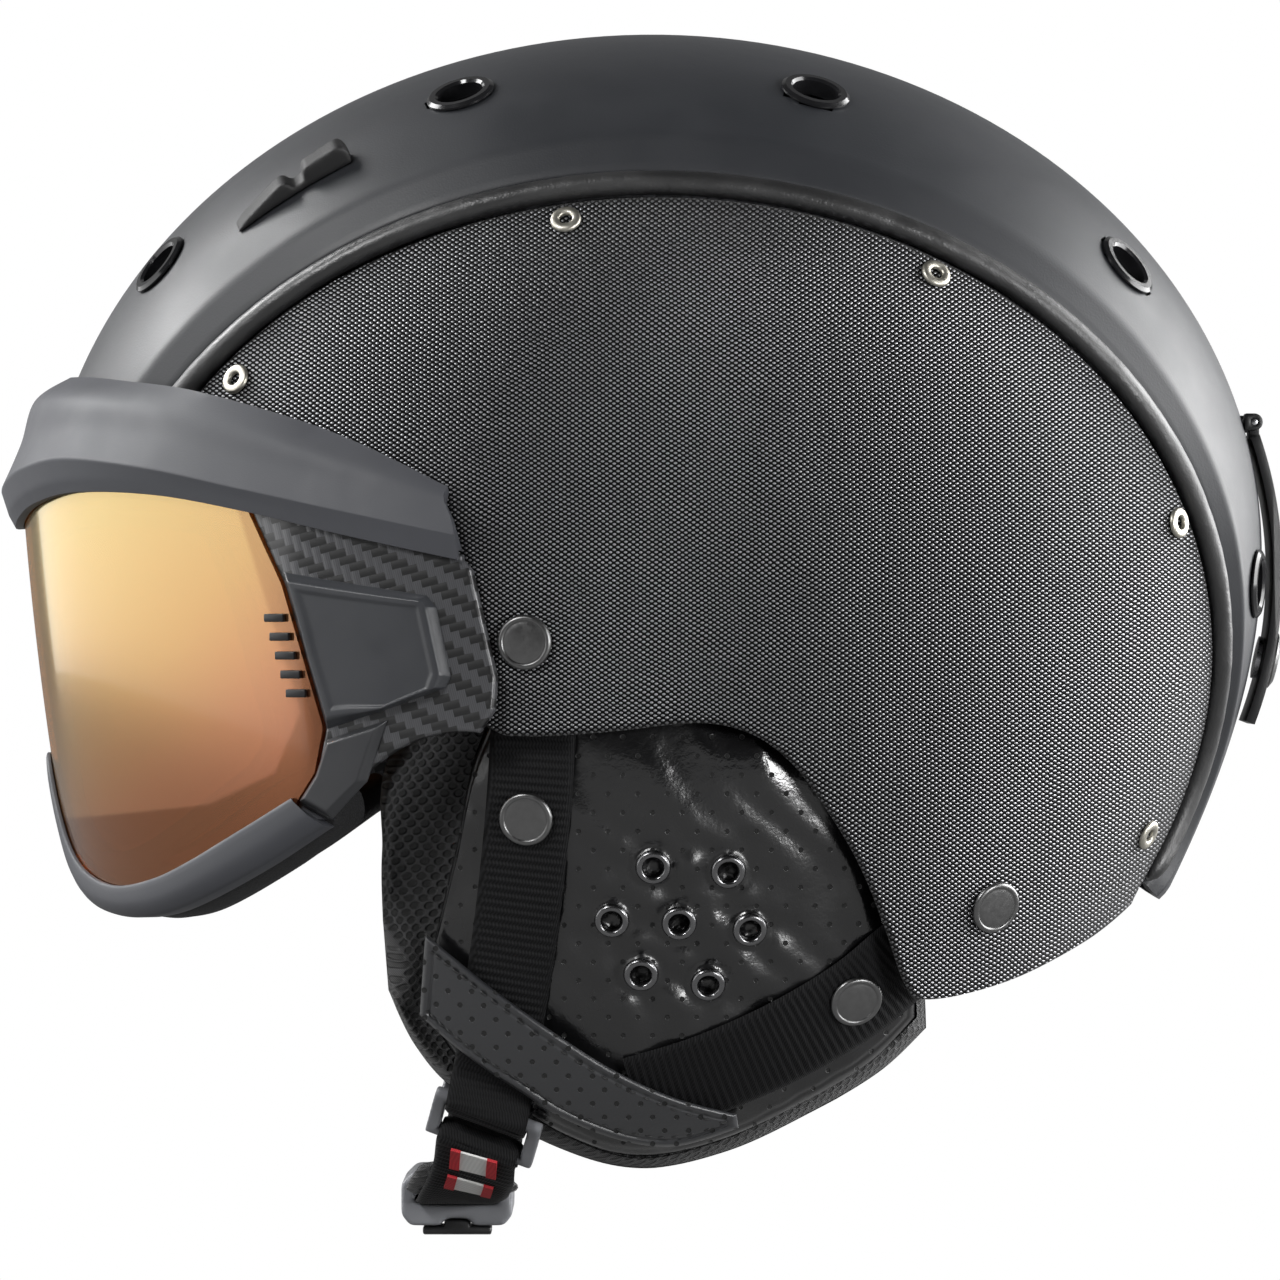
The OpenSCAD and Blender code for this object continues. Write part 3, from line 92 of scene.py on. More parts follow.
PANEL_LOW = [(-114.5, 13), (-100, 10.5), (-88, 5), (-75, -7), (-58, -26), (-37, -40), (-28, -42), (-10, -41),
    (10, -39), (22, -41.5), (31, -48), (38, -57), (46, -70), (52, -84), (57, -98), (61, -101.8), (70, -101),
    (84, -97), (100, -89.5), (111, -82)]
FOAM_LOW = [(0, 19), (36, 17), (45, 13), (54, 3), (63, -10), (72, -14), (98, -14), (106, -28), (114, -50),
    (122, -64), (150, -69), (162, -69), (171, -52), (180, -52)]
VENTS = [(149.8, 31), (112.8, 47), (70.4, 50), (31, 41), (-3, 21)]
STRAP_CAPS = [(-28.2, -20.9), (76.7, -80.3)]
SNAP_PLACES = [(-28, -60), (45.5, -101.2)]
MAGNET_PLACE = (-56, -20)
EYELETS = [(0.1, -70.9), (16.8, -71.9), (-9.1, -82.9), (5.9, -83.5), (21.7, -85), (-2.6, -95.1),
    (12.4, -97.4)]
PAD_LOW = [(-51, -104), (-44, -115.5), (-33, -124.5), (-19, -133.5), (-3, -138.5), (15, -134.5), (33, -126),
    (49, -116.5), (60, -106)]
PAD_HIGH = [(-49, -88), (-44, -67), (-38, -42), (-22, -16), (0, -16), (20, -17), (36, -44), (49, -74),
    (59.5, -100)]
RIM_LOW_PAD = [(-60, -100), (-54, -113), (-44, -124), (-22, -136.5), (-3, -141.5), (17, -137.5), (36, -128.5),
    (52, -119), (62.5, -109)]
RIM_HIGH_PAD = [(-61, -84), (-61, -68), (-58, -44), (-30, -18), (0, -17), (20, -18), (36, -44), (50, -74),
    (62, -101)]
FRONT_STRAP = [(-27, -17), (-26.5, -38), (-28, -62), (-31, -88), (-35, -112)]
REAR_STRAP = [(76, -82), (60, -90), (46, -101), (30, -110.5), (12, -118.5), (-4, -123.5)]
BAND_HIGH = [(-51, -86.5), (-44, -92), (-34.7, -99.4), (-20.6, -109.4), (-8, -117.4), (5, -123.5),
    (19, -127.5)]
BAND_LOW = [(-52.5, -105), (-46.5, -110.5), (-38, -117), (-30, -122.2), (-20, -128.6), (-6, -134), (6, -135),
    (19.5, -130.8)]
# Brow: the last place across, then the heights at these places and there
BROW_AT = (0, 17, 28, 41, 52, 62)
BROW_LOW, BROW_CREASE, BROW_MID, BROW_SHOULDER, BROW_TOP = ([*zip((*BROW_AT, end), z)] for end, *z in (
    (73, 5.5, 10.7, 13.1, 12.2, 8.3, 3, -2.8),
    (72.8, 14, 19, 20.9, 18.2, 13.4, 8.4, 2.8),
    (72.3, 25, 26.8, 27.6, 25.5, 19.8, 14, 7),
    (71.6, 35.5, 35.2, 34.4, 31.6, 26, 19, 11),
    (71, 41, 40.3, 38.9, 36.1, 30.6, 23.2, 13.6)))
BROW_OUT = [(2.2, 1.5), (5, 1.8), (-0.4, 0.4), (-4.4, -0.8)]
LENS_LOW = [(0, -48.6), (3.6, -51.4), (7, -59.4), (12, -69.6), (18, -75.5), (26, -78.3), (34, -76.5),
    (41, -71.9), (49, -64.2), (55, -57.5)]
RIM_LOW = [(0, -55), (3.2, -57.4), (6.4, -65.4), (11, -75.4), (17, -81), (26, -83.6), (34, -82.8),
    (41.5, -78.8), (50.5, -71), (58.2, -62)]
LENS_SIDE = [(-57.5, 55), (-50, 57.6), (-40, 58.9), (-26, 57.4), (-8, 55.4), (9, 52)]
PLATE_REAR = [(-41, 74.2), (-36, 75.7), (-29, 76), (-5, 74), (-2.8, 73.2)]
BOSS_FRONT = [(59.4, -40.2), (57.6, -22.8), (55.8, -5.4)]
BOSS_REAR = [(65.4, -36), (71.4, -31), (71.9, -28.5), (70.8, -13.2), (69.9, -10.6)]
ARM_FRONT = [(55.8, -56.3), (57.8, -50.6), (59.4, -42.6)]
ARM_REAR = [(59.2, -60.2), (63.2, -51.8), (65.6, -38.2)]
LENS_LAP, BOSS_H = 1.8, 2.6
CHIN_LINE = [(-40.7, -54, -141.4), (-42.2, -44, -145.8), (-44.2, -33, -148.9), (-45.3, -23, -150.5),
    (-45.5, -15, -150.9), (-45.5, -9.5, -150.9)]
LOOP_BAR = 3.0


def sin(a): return math.sin(math.radians(a))
def cos(a): return math.cos(math.radians(a))
def vec(*v): return np.array(v, float)
def unit(v): return v / np.linalg.norm(v)
def mix(a, b, f): return a + (b - a) * f
def lookup(x, table): return float(np.interp(x, [p[0] for p in table], [p[1] for p in table]))
def smooth_step(x): x = np.clip(x, 0, 1); return x * x * (3 - 2 * x)


def curve(k, f):
    """Smooth curve through a list of points, f from 0 to 1."""
    n = len(k) - 1
    u = min(max(f, 0), 1) * n
    i = min(int(u), n - 1)
    a, b, c, d = (np.array(k[j], float) for j in (max(i - 1, 0), i, i + 1, min(i + 2, n)))
    f = u - i
    return 0.5 * (2 * b + (c - a) * f + (2 * a - 5 * b + 4 * c - d) * f * f
        + (3 * b - a - 3 * c + d) * f ** 3)


def along(line, f):
    u = f * (len(line) - 1)
    i = min(int(u), len(line) - 2)
    return mix(vec(*line[i]), vec(*line[i + 1]), u - i)


def depth_term(u2, t): return (1 - u2) / (SIDE_DEPTH + t) ** 2 + u2 / (NAPE_DEPTH + t) ** 2


def side_value(x, z, t):
    """0 at the middle of the head form in side view, 1 on its outline in layer t."""
    u2 = (x / (HALF_LEN + t)) ** 2
    return u2 + ((z / (TOP + t)) ** 2 if z >= 0 else z * z * depth_term(u2, t))


def on_side(p, t0, t):
    """Point on the left side of layer t, from its place in side view on layer t0."""
    f0 = side_value(p[0], p[1], t0)
    k = math.sqrt(SIDE_LIMIT / f0) if f0 > SIDE_LIMIT else 1
    x0, z0 = p[0] * k, p[1] * k
    u2 = (x0 / (HALF_LEN + t0)) ** 2
    z = z0 * ((TOP + t) / (TOP + t0) if z0 >= 0 else math.sqrt(depth_term(u2, t0) / depth_term(u2, t)))
    y = -(HALF_W + t) * math.sqrt(1 - side_value(x0, z0, t0))
    return vec(x0 * (HALF_LEN + t) / (HALF_LEN + t0), y, z)


def to_layer(p, t):
    for _ in range(2):
        p = p / math.sqrt(side_value(p[0], p[2], t) + (p[1] / (HALF_W + t)) ** 2)
    return p


def section_len(z, t):
    if z >= 0:
        return (HALF_LEN + t) * math.sqrt(max(0, 1 - (z / (TOP + t)) ** 2))
    a, b = 1 / (SIDE_DEPTH + t) ** 2, 1 / (NAPE_DEPTH + t) ** 2
    return (HALF_LEN + t) * math.sqrt((1 - z * z * a) / (1 + z * z * (b - a)))


def section_w(z, t):
    return (HALF_W + t) * math.sqrt(max(0, 1 - (z / ((TOP if z >= 0 else SIDE_DEPTH) + t)) ** 2))


def on_section(a, z, t): return vec(-section_len(z, t) * cos(a), -section_w(z, t) * sin(a), z)


def outward(p):
    d = TOP if p[2] >= 0 else SIDE_DEPTH - abs(p[0]) / HALF_LEN * (SIDE_DEPTH - NAPE_DEPTH)
    return unit(vec(p[0] / HALF_LEN ** 2, p[1] / HALF_W ** 2, p[2] / d ** 2))


def reach(a, b, t):
    """Distance from the middle in side view, at angle a, b degrees up from the widest place."""
    c2, s = (cos(a) / (HALF_LEN + t)) ** 2, sin(a)
    if s >= 0:
        return sin(b) / math.sqrt(c2 + (s / (TOP + t)) ** 2)
    q1 = c2 + (s / (SIDE_DEPTH + t)) ** 2
    q2 = c2 * s * s * (1 / (NAPE_DEPTH + t) ** 2 - 1 / (SIDE_DEPTH + t) ** 2)
    return math.sqrt((-q1 + math.sqrt(q1 * q1 + 4 * q2 * sin(b) ** 2)) / (2 * q2))


def on_polar(a, b, t):
    r = reach(a, b, t)
    return vec(r * cos(a), -(HALF_W + t) * cos(b), r * sin(a))


def on_ear(p, t):
    w2 = 1 - (p[0] / (HALF_LEN + t)) ** 2 - (p[1] / (EAR_DEPTH + t)) ** 2
    return vec(p[0], -(HALF_W + t) * math.sqrt(max(0.03, w2)), p[1])


def pad_layer(p):
    return max(PANEL_IN - 4.8, PANEL_IN - 0.7 - 5 * ((p[0] - 5) / 58) ** 4 - 5 * ((p[1] + 88) / 52) ** 4)


def over_pad(p, lift):
    tucked = p[1] > -44 or p[0] > 56
    return min(pad_layer(p) + lift, PANEL_IN - 2 * GAP if tucked else 0)


def visor_len(z):
    d = 26 - z
    return HALF_LEN + 5.5 - 0.06 * d - 0.0006 * d * d


VISOR_W = HALF_W + PANEL_OUT + VISOR_T + 0.5
def on_visor(a, z, t): return vec(-(visor_len(z) + t) * cos(a), -(VISOR_W + t) * sin(a), z)
def lens_edge(z): return lookup(z, LENS_SIDE)


def normal_of(place, p, t):
    d = (vec(1, 0), vec(0, 1))
    return unit(np.cross(place(p + d[0], t) - place(p - d[0], t), place(p + d[1], t) - place(p - d[1], t)))


def edge_at(f):
    a = mix(EDGE_FRONT, EDGE_REAR, f)
    return vec(EDGE_C[0] + EDGE_R[0] * cos(a), EDGE_C[1] + EDGE_R[1] * sin(a))


def edge_point(f): return on_side(edge_at(f), PANEL_OUT, PANEL_OUT)
def edge_side(f): return unit(np.cross(outward(edge_point(f)), edge_point(f + 0.01) - edge_point(f - 0.01)))
def beside(f, d, t): return to_layer(edge_point(f) + edge_side(f) * d, t)


# Meshes

def finish_mesh(name, shape, mat, body, mirror=False, replaced=(), sharp=32):
    me = bpy.data.meshes.new(name)
    v = shape[0] * MM * vec(1, -1 if mirror else 1, 1)
    me.from_pydata(v.tolist(), [], shape[1])
    cleaned(me, WELD)
    return place_mesh(name, me, mat, body, replaced, sharp)


def cleaned(me, dist, between=lambda bm: None):
    """Welds a mesh and turns its faces outward, with other work on it in between."""
    bm = bmesh.new()
    bm.from_mesh(me)
    bmesh.ops.remove_doubles(bm, verts=bm.verts, dist=dist)
    between(bm)
    bmesh.ops.recalc_face_normals(bm, faces=bm.faces)
    bm.to_mesh(me)
    bm.free()


def place_mesh(name, me, mat, body, replaced=(), sharp=32):
    me.name = name
    me.polygons.foreach_set("use_smooth", [True] * len(me.polygons))
    me.set_sharp_from_angle(angle=math.radians(sharp))
    o = bpy.data.objects.new(name, me)
    bpy.context.scene.collection.objects.link(o)
    me.materials.clear()
    me.materials.append(mat)
    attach(o, body)
    if replaced:
        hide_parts(*replaced)
    return o


def skin(node, shape, mat, sharp, body="helmet", mirror=False):
    """The piece that stands for one CAD node."""
    return finish_mesh(node + ".skin", shape, mat, body, mirror, (node,), sharp)


def both(name, shape, mat, sharp=32, body="helmet", node=True):
    """The piece on the wearer's left and its mirror image on the right, each for its CAD node."""
    sides = ((f"{name}_left", False), (f"{name}_right", True))
    return [finish_mesh(full + ".skin", shape, mat, body, mirror, (full,) if node else (), sharp)
        for full, mirror in sides]


def grid_faces(n, m, first=0, close_m=False):
    w = m if close_m else m - 1
    return [(first + a * m + b, first + (a + 1) * m + b, first + (a + 1) * m + (b + 1) % m,
        first + a * m + (b + 1) % m) for a in range(n - 1) for b in range(w)]


def slab(outer, inner):
    """Closed sheet between two grids of points."""
    outer, inner = np.array(outer), np.array(inner)
    n, m = outer.shape[:2]
    s = n * m
    faces = grid_faces(n, m) + [f[::-1] for f in grid_faces(n, m, s)]
    i = np.arange(s).reshape(n, m)
    loop = [*i[0, :], *i[1:, -1], *i[-1, -2::-1], *i[-2:0:-1, 0]]
    faces += [(int(b), int(a), int(a) + s, int(b) + s) for a, b in zip(loop, loop[1:] + loop[:1])]
    return np.concatenate([outer.reshape(-1, 3), inner.reshape(-1, 3)]), faces


def tube(rings, closed=False):
    """Tube through a list of rings, capped unless it closes on itself."""
    n, m = len(rings), len(rings[0])
    faces = grid_faces(n, m, 0, True)
    if closed:
        faces += [((n - 1) * m + b, b, (b + 1) % m, (n - 1) * m + (b + 1) % m) for b in range(m)]
    else:
        faces += [tuple(range(m)), tuple(range((n - 1) * m, n * m))]
    return np.concatenate(rings), faces


def ring(c, r, x, y, sides):
    """Circle of radius r round c, in the plane of x and y."""
    return np.array([c + r * (cos(a) * x + sin(a) * y) for a in np.arange(sides) * 360 / sides])


def heading(pts, k):
    """Direction of a line of points at point k."""
    return unit(pts[min(k + 1, len(pts) - 1)] - pts[max(k - 1, 0)])


def spaced(n, k=0.6):
    """n + 1 shares from 0 to 1, closer together at both ends."""
    t = np.linspace(0, 1, n + 1)
    return (1 - k) * t + k * (0.5 - 0.5 * np.cos(np.pi * t))


def both_ways(n, k):
    """The same from -n to n."""
    return [n * (2 * s - 1) for s in spaced(2 * n, k)]


def edge_distance(grid):
    """Distance of each grid point from the nearest edge of the grid, along its columns and rows."""
    def run(g):
        d = np.linalg.norm(np.diff(g, axis=0), axis=2)
        c = np.concatenate([np.zeros((1, g.shape[1])), np.cumsum(d, axis=0)])
        return np.minimum(c, c[-1] - c)
    return np.minimum(run(grid), run(grid.transpose(1, 0, 2)).T)


def shaped(spot, place, n, m, top, bottom, k):
    """Slab on a surface: spot(u, v) in side view, place(point, layer), and the top and bottom layers from
    (point, distance from the edge)."""
    p = [[spot(u, v) for v in spaced(m, k)] for u in spaced(n, k)]
    d = edge_distance(np.array([[place(q, top(q, FAR)) for q in row] for row in p]))
    return slab(*([[place(q, layer(q, e)) for q, e in zip(*row)] for row in zip(p, d)]
        for layer in (top, bottom)))


def rolled(d, r):
    """Drop of a rounded edge of radius r at distance d from it."""
    return r * (1 - math.sqrt(max(0, 1 - (1 - min(max(d, 0) / r, 1)) ** 2)))


def lathe(profile, p, n, sides=48):
    """Turned piece of (radius, height) points, its foot at p and its axis along n."""
    x = unit(np.cross(vec(0, 0, 1) if abs(n[2]) < 0.9 else vec(1, 0, 0), n))
    rings = [ring(p + n * h, r, x, np.cross(n, x), sides) for r, h in profile]
    return np.concatenate(rings), grid_faces(len(rings), sides, 0, True)


def joined(parts):
    verts, faces, s = [], [], 0
    for v, f in parts:
        verts.append(v)
        faces += [tuple(i + s for i in q) for q in f]
        s += len(v)
    return np.concatenate(verts), faces


def flipped(shape): return shape[0] * vec(1, -1, 1), shape[1]


def dressed(node, mat, bevel=0.0, segments=2):
    """Copy of a CAD node with welded, bevelled edges and smooth shading, which stands for it."""
    def rounded(bm):
        bmesh.ops.dissolve_limit(bm, angle_limit=math.radians(0.6), verts=bm.verts, edges=bm.edges)
        if bevel:
            sharp = math.radians(28)
            edges = [e for e in bm.edges if len(e.link_faces) == 2 and e.calc_face_angle(0) > sharp]
            bmesh.ops.bevel(bm, geom=edges, offset=bevel * MM, segments=segments, profile=0.5, affect="EDGES",
                clamp_overlap=True, offset_type="OFFSET")
            bmesh.ops.remove_doubles(bm, verts=bm.verts, dist=WELD)
    me = nodes[node].data.copy()
    cleaned(me, 2 * WELD, rounded)
    for a in list(me.attributes):
        if a.name.startswith("custom_normal"):
            me.attributes.remove(a)
    return place_mesh(node + ".skin", me, mat, nodes[node]["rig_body"], (node,))


def softened(node, mat, voxel, passes):
    """Copy of a CAD node remade on a fine grid and relaxed, which rounds all its edges."""
    ob = bpy.data.objects.new("grid_copy", nodes[node].data.copy())
    bpy.context.scene.collection.objects.link(ob)
    grid = ob.modifiers.new("grid", "REMESH")
    grid.mode, grid.voxel_size = "VOXEL", voxel * MM
    relax = ob.modifiers.new("relax", "SMOOTH")
    relax.factor, relax.iterations = 0.5, passes
    ob.modifiers.new("thin", "DECIMATE").ratio = 0.4
    me = bpy.data.meshes.new_from_object(ob.evaluated_get(bpy.context.evaluated_depsgraph_get()))
    bpy.data.objects.remove(ob)
    return place_mesh(node + ".skin", me, mat, nodes[node]["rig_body"], (node,), 80)


# Materials: every pattern is worked out from the row frame, in millimetres

def shade(color, f): return [min(1, v * f) for v in color]


def seen_rays(tree):
    """1 for rays that the camera sends, also through glass, and 0 for all others."""
    rays, seen = tree.nodes.new("ShaderNodeLightPath"), tree.nodes.new("ShaderNodeMath")
    seen.operation = "MAXIMUM"
    tree.links.new(rays.outputs["Is Camera Ray"], seen.inputs[0])
    tree.links.new(rays.outputs["Is Transmission Ray"], seen.inputs[1])
    return seen.outputs[0]


class Look:
    """A Principled shader with the nodes that feed it."""

    def __init__(self, name, color, rough, metal=0.0, **sockets):
        self.mat = bpy.data.materials.new(name)
        self.mat.use_nodes = True
        self.tree = self.mat.node_tree
        self.shader = self.found("BSDF_PRINCIPLED")
        self.color, self.last_bump = color, None
        for k, v in (("Base_Color", color), ("Roughness", rough), ("Metallic", metal), *sockets.items()):
            self.set(k.replace("_", " "), v)
        scale = self.node("ShaderNodeVectorMath", operation="SCALE")
        self.put(self.node("ShaderNodeTexCoord").outputs["Object"], scale.inputs[0])
        self.put(1 / MM, scale.inputs["Scale"])
        self.co = scale.outputs[0]
        part = self.node("ShaderNodeSeparateXYZ")
        self.put(self.co, part.inputs[0])
        self.x, self.y, self.z = part.outputs

    def found(self, kind): return next(n for n in self.tree.nodes if n.type == kind)

    def node(self, kind, **props):
        n = self.tree.nodes.new(kind)
        for k, v in props.items():
            setattr(n, k, v)
        return n

    def put(self, value, socket):
        """Links a socket, or sets a number or a colour."""
        if isinstance(value, bpy.types.NodeSocket):
            self.tree.links.new(value, socket)
        else:
            socket.default_value = (*value, 1) if isinstance(value, (tuple, list)) else value

    def fed(self, kind, values, out=0, **props):
        """Output of a new node whose sockets, by number or name, get these values."""
        n = self.node(kind, **props)
        for k, v in values.items():
            self.put(v, n.inputs[k])
        return n.outputs[out]

    def set(self, socket, value): self.put(value, self.shader.inputs[socket])
    def paint(self, fac, a, b): self.set("Base Color", self.blend(fac, a, b))
    def math(self, op, *values): return self.fed("ShaderNodeMath", dict(enumerate(values)), operation=op)
    def add(self, a, b): return self.math("ADD", a, b)
    def less(self, a, b): return self.math("SUBTRACT", a, b)
    def mul(self, a, b): return self.math("MULTIPLY", a, b)
    def mul_add(self, a, b, c): return self.math("MULTIPLY_ADD", a, b, c)
    def share(self, wave): return self.mul_add(wave, 0.5, 0.5)

    def wave(self, value, pitch, phase=0.0):
        """Sine of a length in millimetres with that pitch, from -1 to 1."""
        return self.math("SINE", self.mul_add(value, 2 * math.pi / pitch, phase))

    def noise(self, size, detail=2.0, rough=0.5):
        return self.fed("ShaderNodeTexNoise", {"Vector": self.co, "Scale": 1 / size, "Detail": detail,
            "Roughness": rough})

    def cells(self, size):
        """Distance from the borders of irregular cells of that size."""
        return self.fed("ShaderNodeTexVoronoi", {"Vector": self.co, "Scale": 1 / size}, "Distance",
            feature="DISTANCE_TO_EDGE")

    def ramp(self, value, lo, hi, out_lo=0.0, out_hi=1.0, kind="SMOOTHSTEP"):
        return self.fed("ShaderNodeMapRange", dict(enumerate((value, lo, hi, out_lo, out_hi))),
            interpolation_type=kind)

    def blend(self, fac, a, b): return self.fed("ShaderNodeMix", {0: fac, 6: a, 7: b}, 2, data_type="RGBA")
    def pick(self, fac, a, b): return self.fed("ShaderNodeMix", {0: fac, 2: a, 3: b}, data_type="FLOAT")

    def bump(self, height, depth, strength=1.0):
        """Height from 0 to 1, depth in millimetres."""
        values = {"Height": height, "Distance": depth * MM, "Strength": strength}
        if self.last_bump:
            values["Normal"] = self.last_bump
        self.last_bump = self.fed("ShaderNodeBump", values)
        self.set("Normal", self.last_bump)

    def woven(self, height, low, high, depth):
        """Threads that stand up by that depth, from one colour to another."""
        self.paint(height, low, high)
        self.bump(height, depth, 0.8)

    def dots(self, pitch_u, pitch_v, radius, soft, u=None, v=None):
        """1 inside round dots set in a staggered grid, 0 between them."""
        found = []
        for shift in (0.0, 0.5):
            square = []
            for s, p in ((u or self.x, pitch_u), (v or self.z, pitch_v)):
                f = self.math("FRACT", self.mul_add(s, 1 / p, shift + 100.0))
                square.append(self.math("POWER", self.math("ABSOLUTE", self.mul(self.less(f, 0.5), p)), 2.0))
            r = self.math("SQRT", self.add(*square))
            found.append(self.ramp(r, radius - soft, radius + soft, 1.0, 0.0))
        return self.math("MAXIMUM", *found)

    def wear(self, amount, size=18.0):
        """Slow change of colour over the surface."""
        f = self.noise(size, 4.0, 0.6)
        self.paint(f, shade(self.color, 1 - amount), shade(self.color, 1 + amount))
        return f

    def cover(self, amount, shader):
        """Mixes another shader over this one."""
        mixed = self.fed("ShaderNodeMixShader", {0: amount, 1: self.shader.outputs[0], 2: shader})
        self.put(mixed, self.found("OUTPUT_MATERIAL").inputs[0])


def plain_look(name, color, rough, grain, size=0.35, drift=18.0, spread=(-0.04, 0.05)):
    k = Look(name, color, rough)
    k.set("Roughness", k.ramp(k.wear(0.12, drift), 0.3, 0.7, rough + spread[0], rough + spread[1]))
    k.bump(k.noise(size), grain)
    return k.mat


def panel_look():
    """Coated textile: small raised nubs in a staggered grid, with painted highlights on the nub tops and
    painted shade in the gaps between them.
    """
    k = Look("panel_textile", (0.012, 0.012, 0.013), 0.36, 0.85, Sheen_Weight=0.12, Sheen_Roughness=0.45)
    drift = k.mul(k.noise(14.0, 1.0), 1.1)
    u, v = k.add(k.x, drift), k.mul(k.add(k.z, drift), 1.5)
    h = k.mul(*(k.share(k.wave(w, 1.68)) for w in (k.add(u, v), k.less(u, v))))
    nub_with_painted_highlight = k.ramp(h, 0.16, 0.5)
    # Painted highlight and shade: the nub tops get a light colour that stands for their highlights, and the
    # gaps a near-black one that stands for the shade between the nubs.
    k.paint(nub_with_painted_highlight, (0.001, 0.001, 0.0011), (0.28, 0.282, 0.295))
    k.set("Roughness", k.ramp(nub_with_painted_highlight, 0.0, 1.0, 0.9, 0.35))
    k.bump(h, 0.2)
    return k.mat


def leather_look(name, color, rough, holes=None, grain=0.1):
    k = Look(name, color, rough, Specular_IOR_Level=0.9)
    worn = k.ramp(k.noise(22.0, 3.0), 0.3, 0.7, rough - 0.06, rough + 0.12)
    k.bump(k.cells(0.9), grain, 0.5)
    k.bump(k.noise(5.0, 4.0, 0.55), 0.5, 0.6)
    if holes:
        m = k.dots(*holes)
        # Painted shade: the perforations are coloured near black for the shade inside the holes.
        k.paint(m, color, HOLE_SHADE)
        worn = k.add(m, worn)
        k.bump(k.less(1.0, m), 0.6)
    else:
        k.wear(0.2)
    k.set("Roughness", worn)
    return k.mat


def webbing_look():
    """Fine threads across the ribs that the mesh already has."""
    k = Look("ribbed_webbing", (0.005, 0.005, 0.0055), 0.65, Specular_IOR_Level=0.12, Sheen_Weight=0.04,
        Sheen_Roughness=0.4)
    threads = k.share(k.wave(k.add(k.x, k.mul(k.y, 0.7)), 0.62))
    k.woven(threads, (0.004, 0.004, 0.0042), (0.015, 0.015, 0.016), 0.09)
    k.bump(k.noise(0.4), 0.06, 0.5)
    return k.mat


def mesh_look():
    """Spacer mesh: staggered open holes, painted near black as shade, between thick threads."""
    k = Look("spacer_mesh", (0.012, 0.012, 0.0125), 0.62, Sheen_Weight=0.12, Sheen_Roughness=0.5)
    warp = k.mul(k.noise(9.0, 1.0), 0.7)
    m = k.dots(2.6, 3.4, 0.8, 0.2, k.add(k.add(k.x, k.mul(k.y, 0.55)), warp), k.add(k.z, warp))
    t = k.share(k.wave(k.add(k.x, k.z), 0.55))
    # Painted shade: the open holes of the mesh are coloured near black for the shade inside them.
    k.paint(m, k.blend(t, (0.010, 0.010, 0.0105), (0.060, 0.060, 0.062)), HOLE_SHADE)
    k.bump(k.less(1.0, m), 0.9)
    k.bump(t, 0.12, 0.6)
    return k.mat


def knit_look():
    k = Look("knitted_lining", (0.014, 0.014, 0.015), 0.8, Sheen_Weight=0.25, Sheen_Roughness=0.5)
    a, b = k.wave(k.add(k.x, k.y), 1.1), k.wave(k.add(k.z, k.mul(k.x, 0.4)), 1.3)
    k.woven(k.share(k.mul(a, b)), (0.008, 0.008, 0.009), (0.026, 0.026, 0.028), 0.25)
    return k.mat


def label_look(name, color, low, high):
    """Fine weave of the strap labels and their stripes."""
    k = Look(name, color, 0.7)
    k.woven(k.share(k.mul(k.wave(k.add(k.x, k.y), 0.5), k.wave(k.z, 0.4))), low, high, 0.08)
    return k.mat


def foam_look(name, size, color):
    k = Look(name, color, 0.85)
    e = k.cells(size)
    k.paint(k.ramp(e, 0.0, 0.18), shade(color, 0.5), shade(color, 1.2))
    k.bump(k.ramp(e, 0.0, 0.2), 0.2 * size / 3, 0.9)
    return k.mat


def carbon_look():
    """Twill of flat tows under a clear coat."""
    k = Look("carbon_twill", (0.02, 0.02, 0.022), 0.32, Coat_Weight=0.7, Coat_Roughness=0.12)
    tow, slant, far = 1.9, 0.25, 400.0
    tows = (k.add(k.x, k.mul(k.z, slant)), k.less(k.z, k.mul(k.x, slant)))
    u, v = (k.mul_add(w, 1 / tow, far) for w in tows)
    warp = k.math("LESS_THAN", k.math("MODULO", k.add(k.math("FLOOR", u), k.math("FLOOR", v)), 4.0), 1.5)
    threads = k.pick(warp, *(k.share(k.wave(w, 0.25)) for w in (v, u)))
    rounded = k.pick(warp, *(k.math("SINE", k.mul(k.math("FRACT", w), math.pi)) for w in (v, u)))
    base = k.blend(warp, (0.003, 0.003, 0.0035), (0.080, 0.081, 0.087))
    k.paint(k.mul(threads, 0.35), base, (0.004, 0.004, 0.004))
    k.set("Roughness", k.ramp(warp, 0.0, 1.0, 0.5, 0.3))
    k.bump(rounded, 0.12, 0.6)
    return k.mat


def metal_look(name, color, rough, scratches=0.06, grain=0.012):
    k = Look(name, color, rough, 1.0)
    f = k.noise(1.6, 4.0, 0.65)
    k.set("Roughness", k.ramp(f, 0.25, 0.75, rough - scratches, rough + scratches))
    k.paint(f, shade(color, 0.82), shade(color, 1.1))
    if grain:
        k.bump(k.noise(0.5, 3.0), grain)
    return k.mat


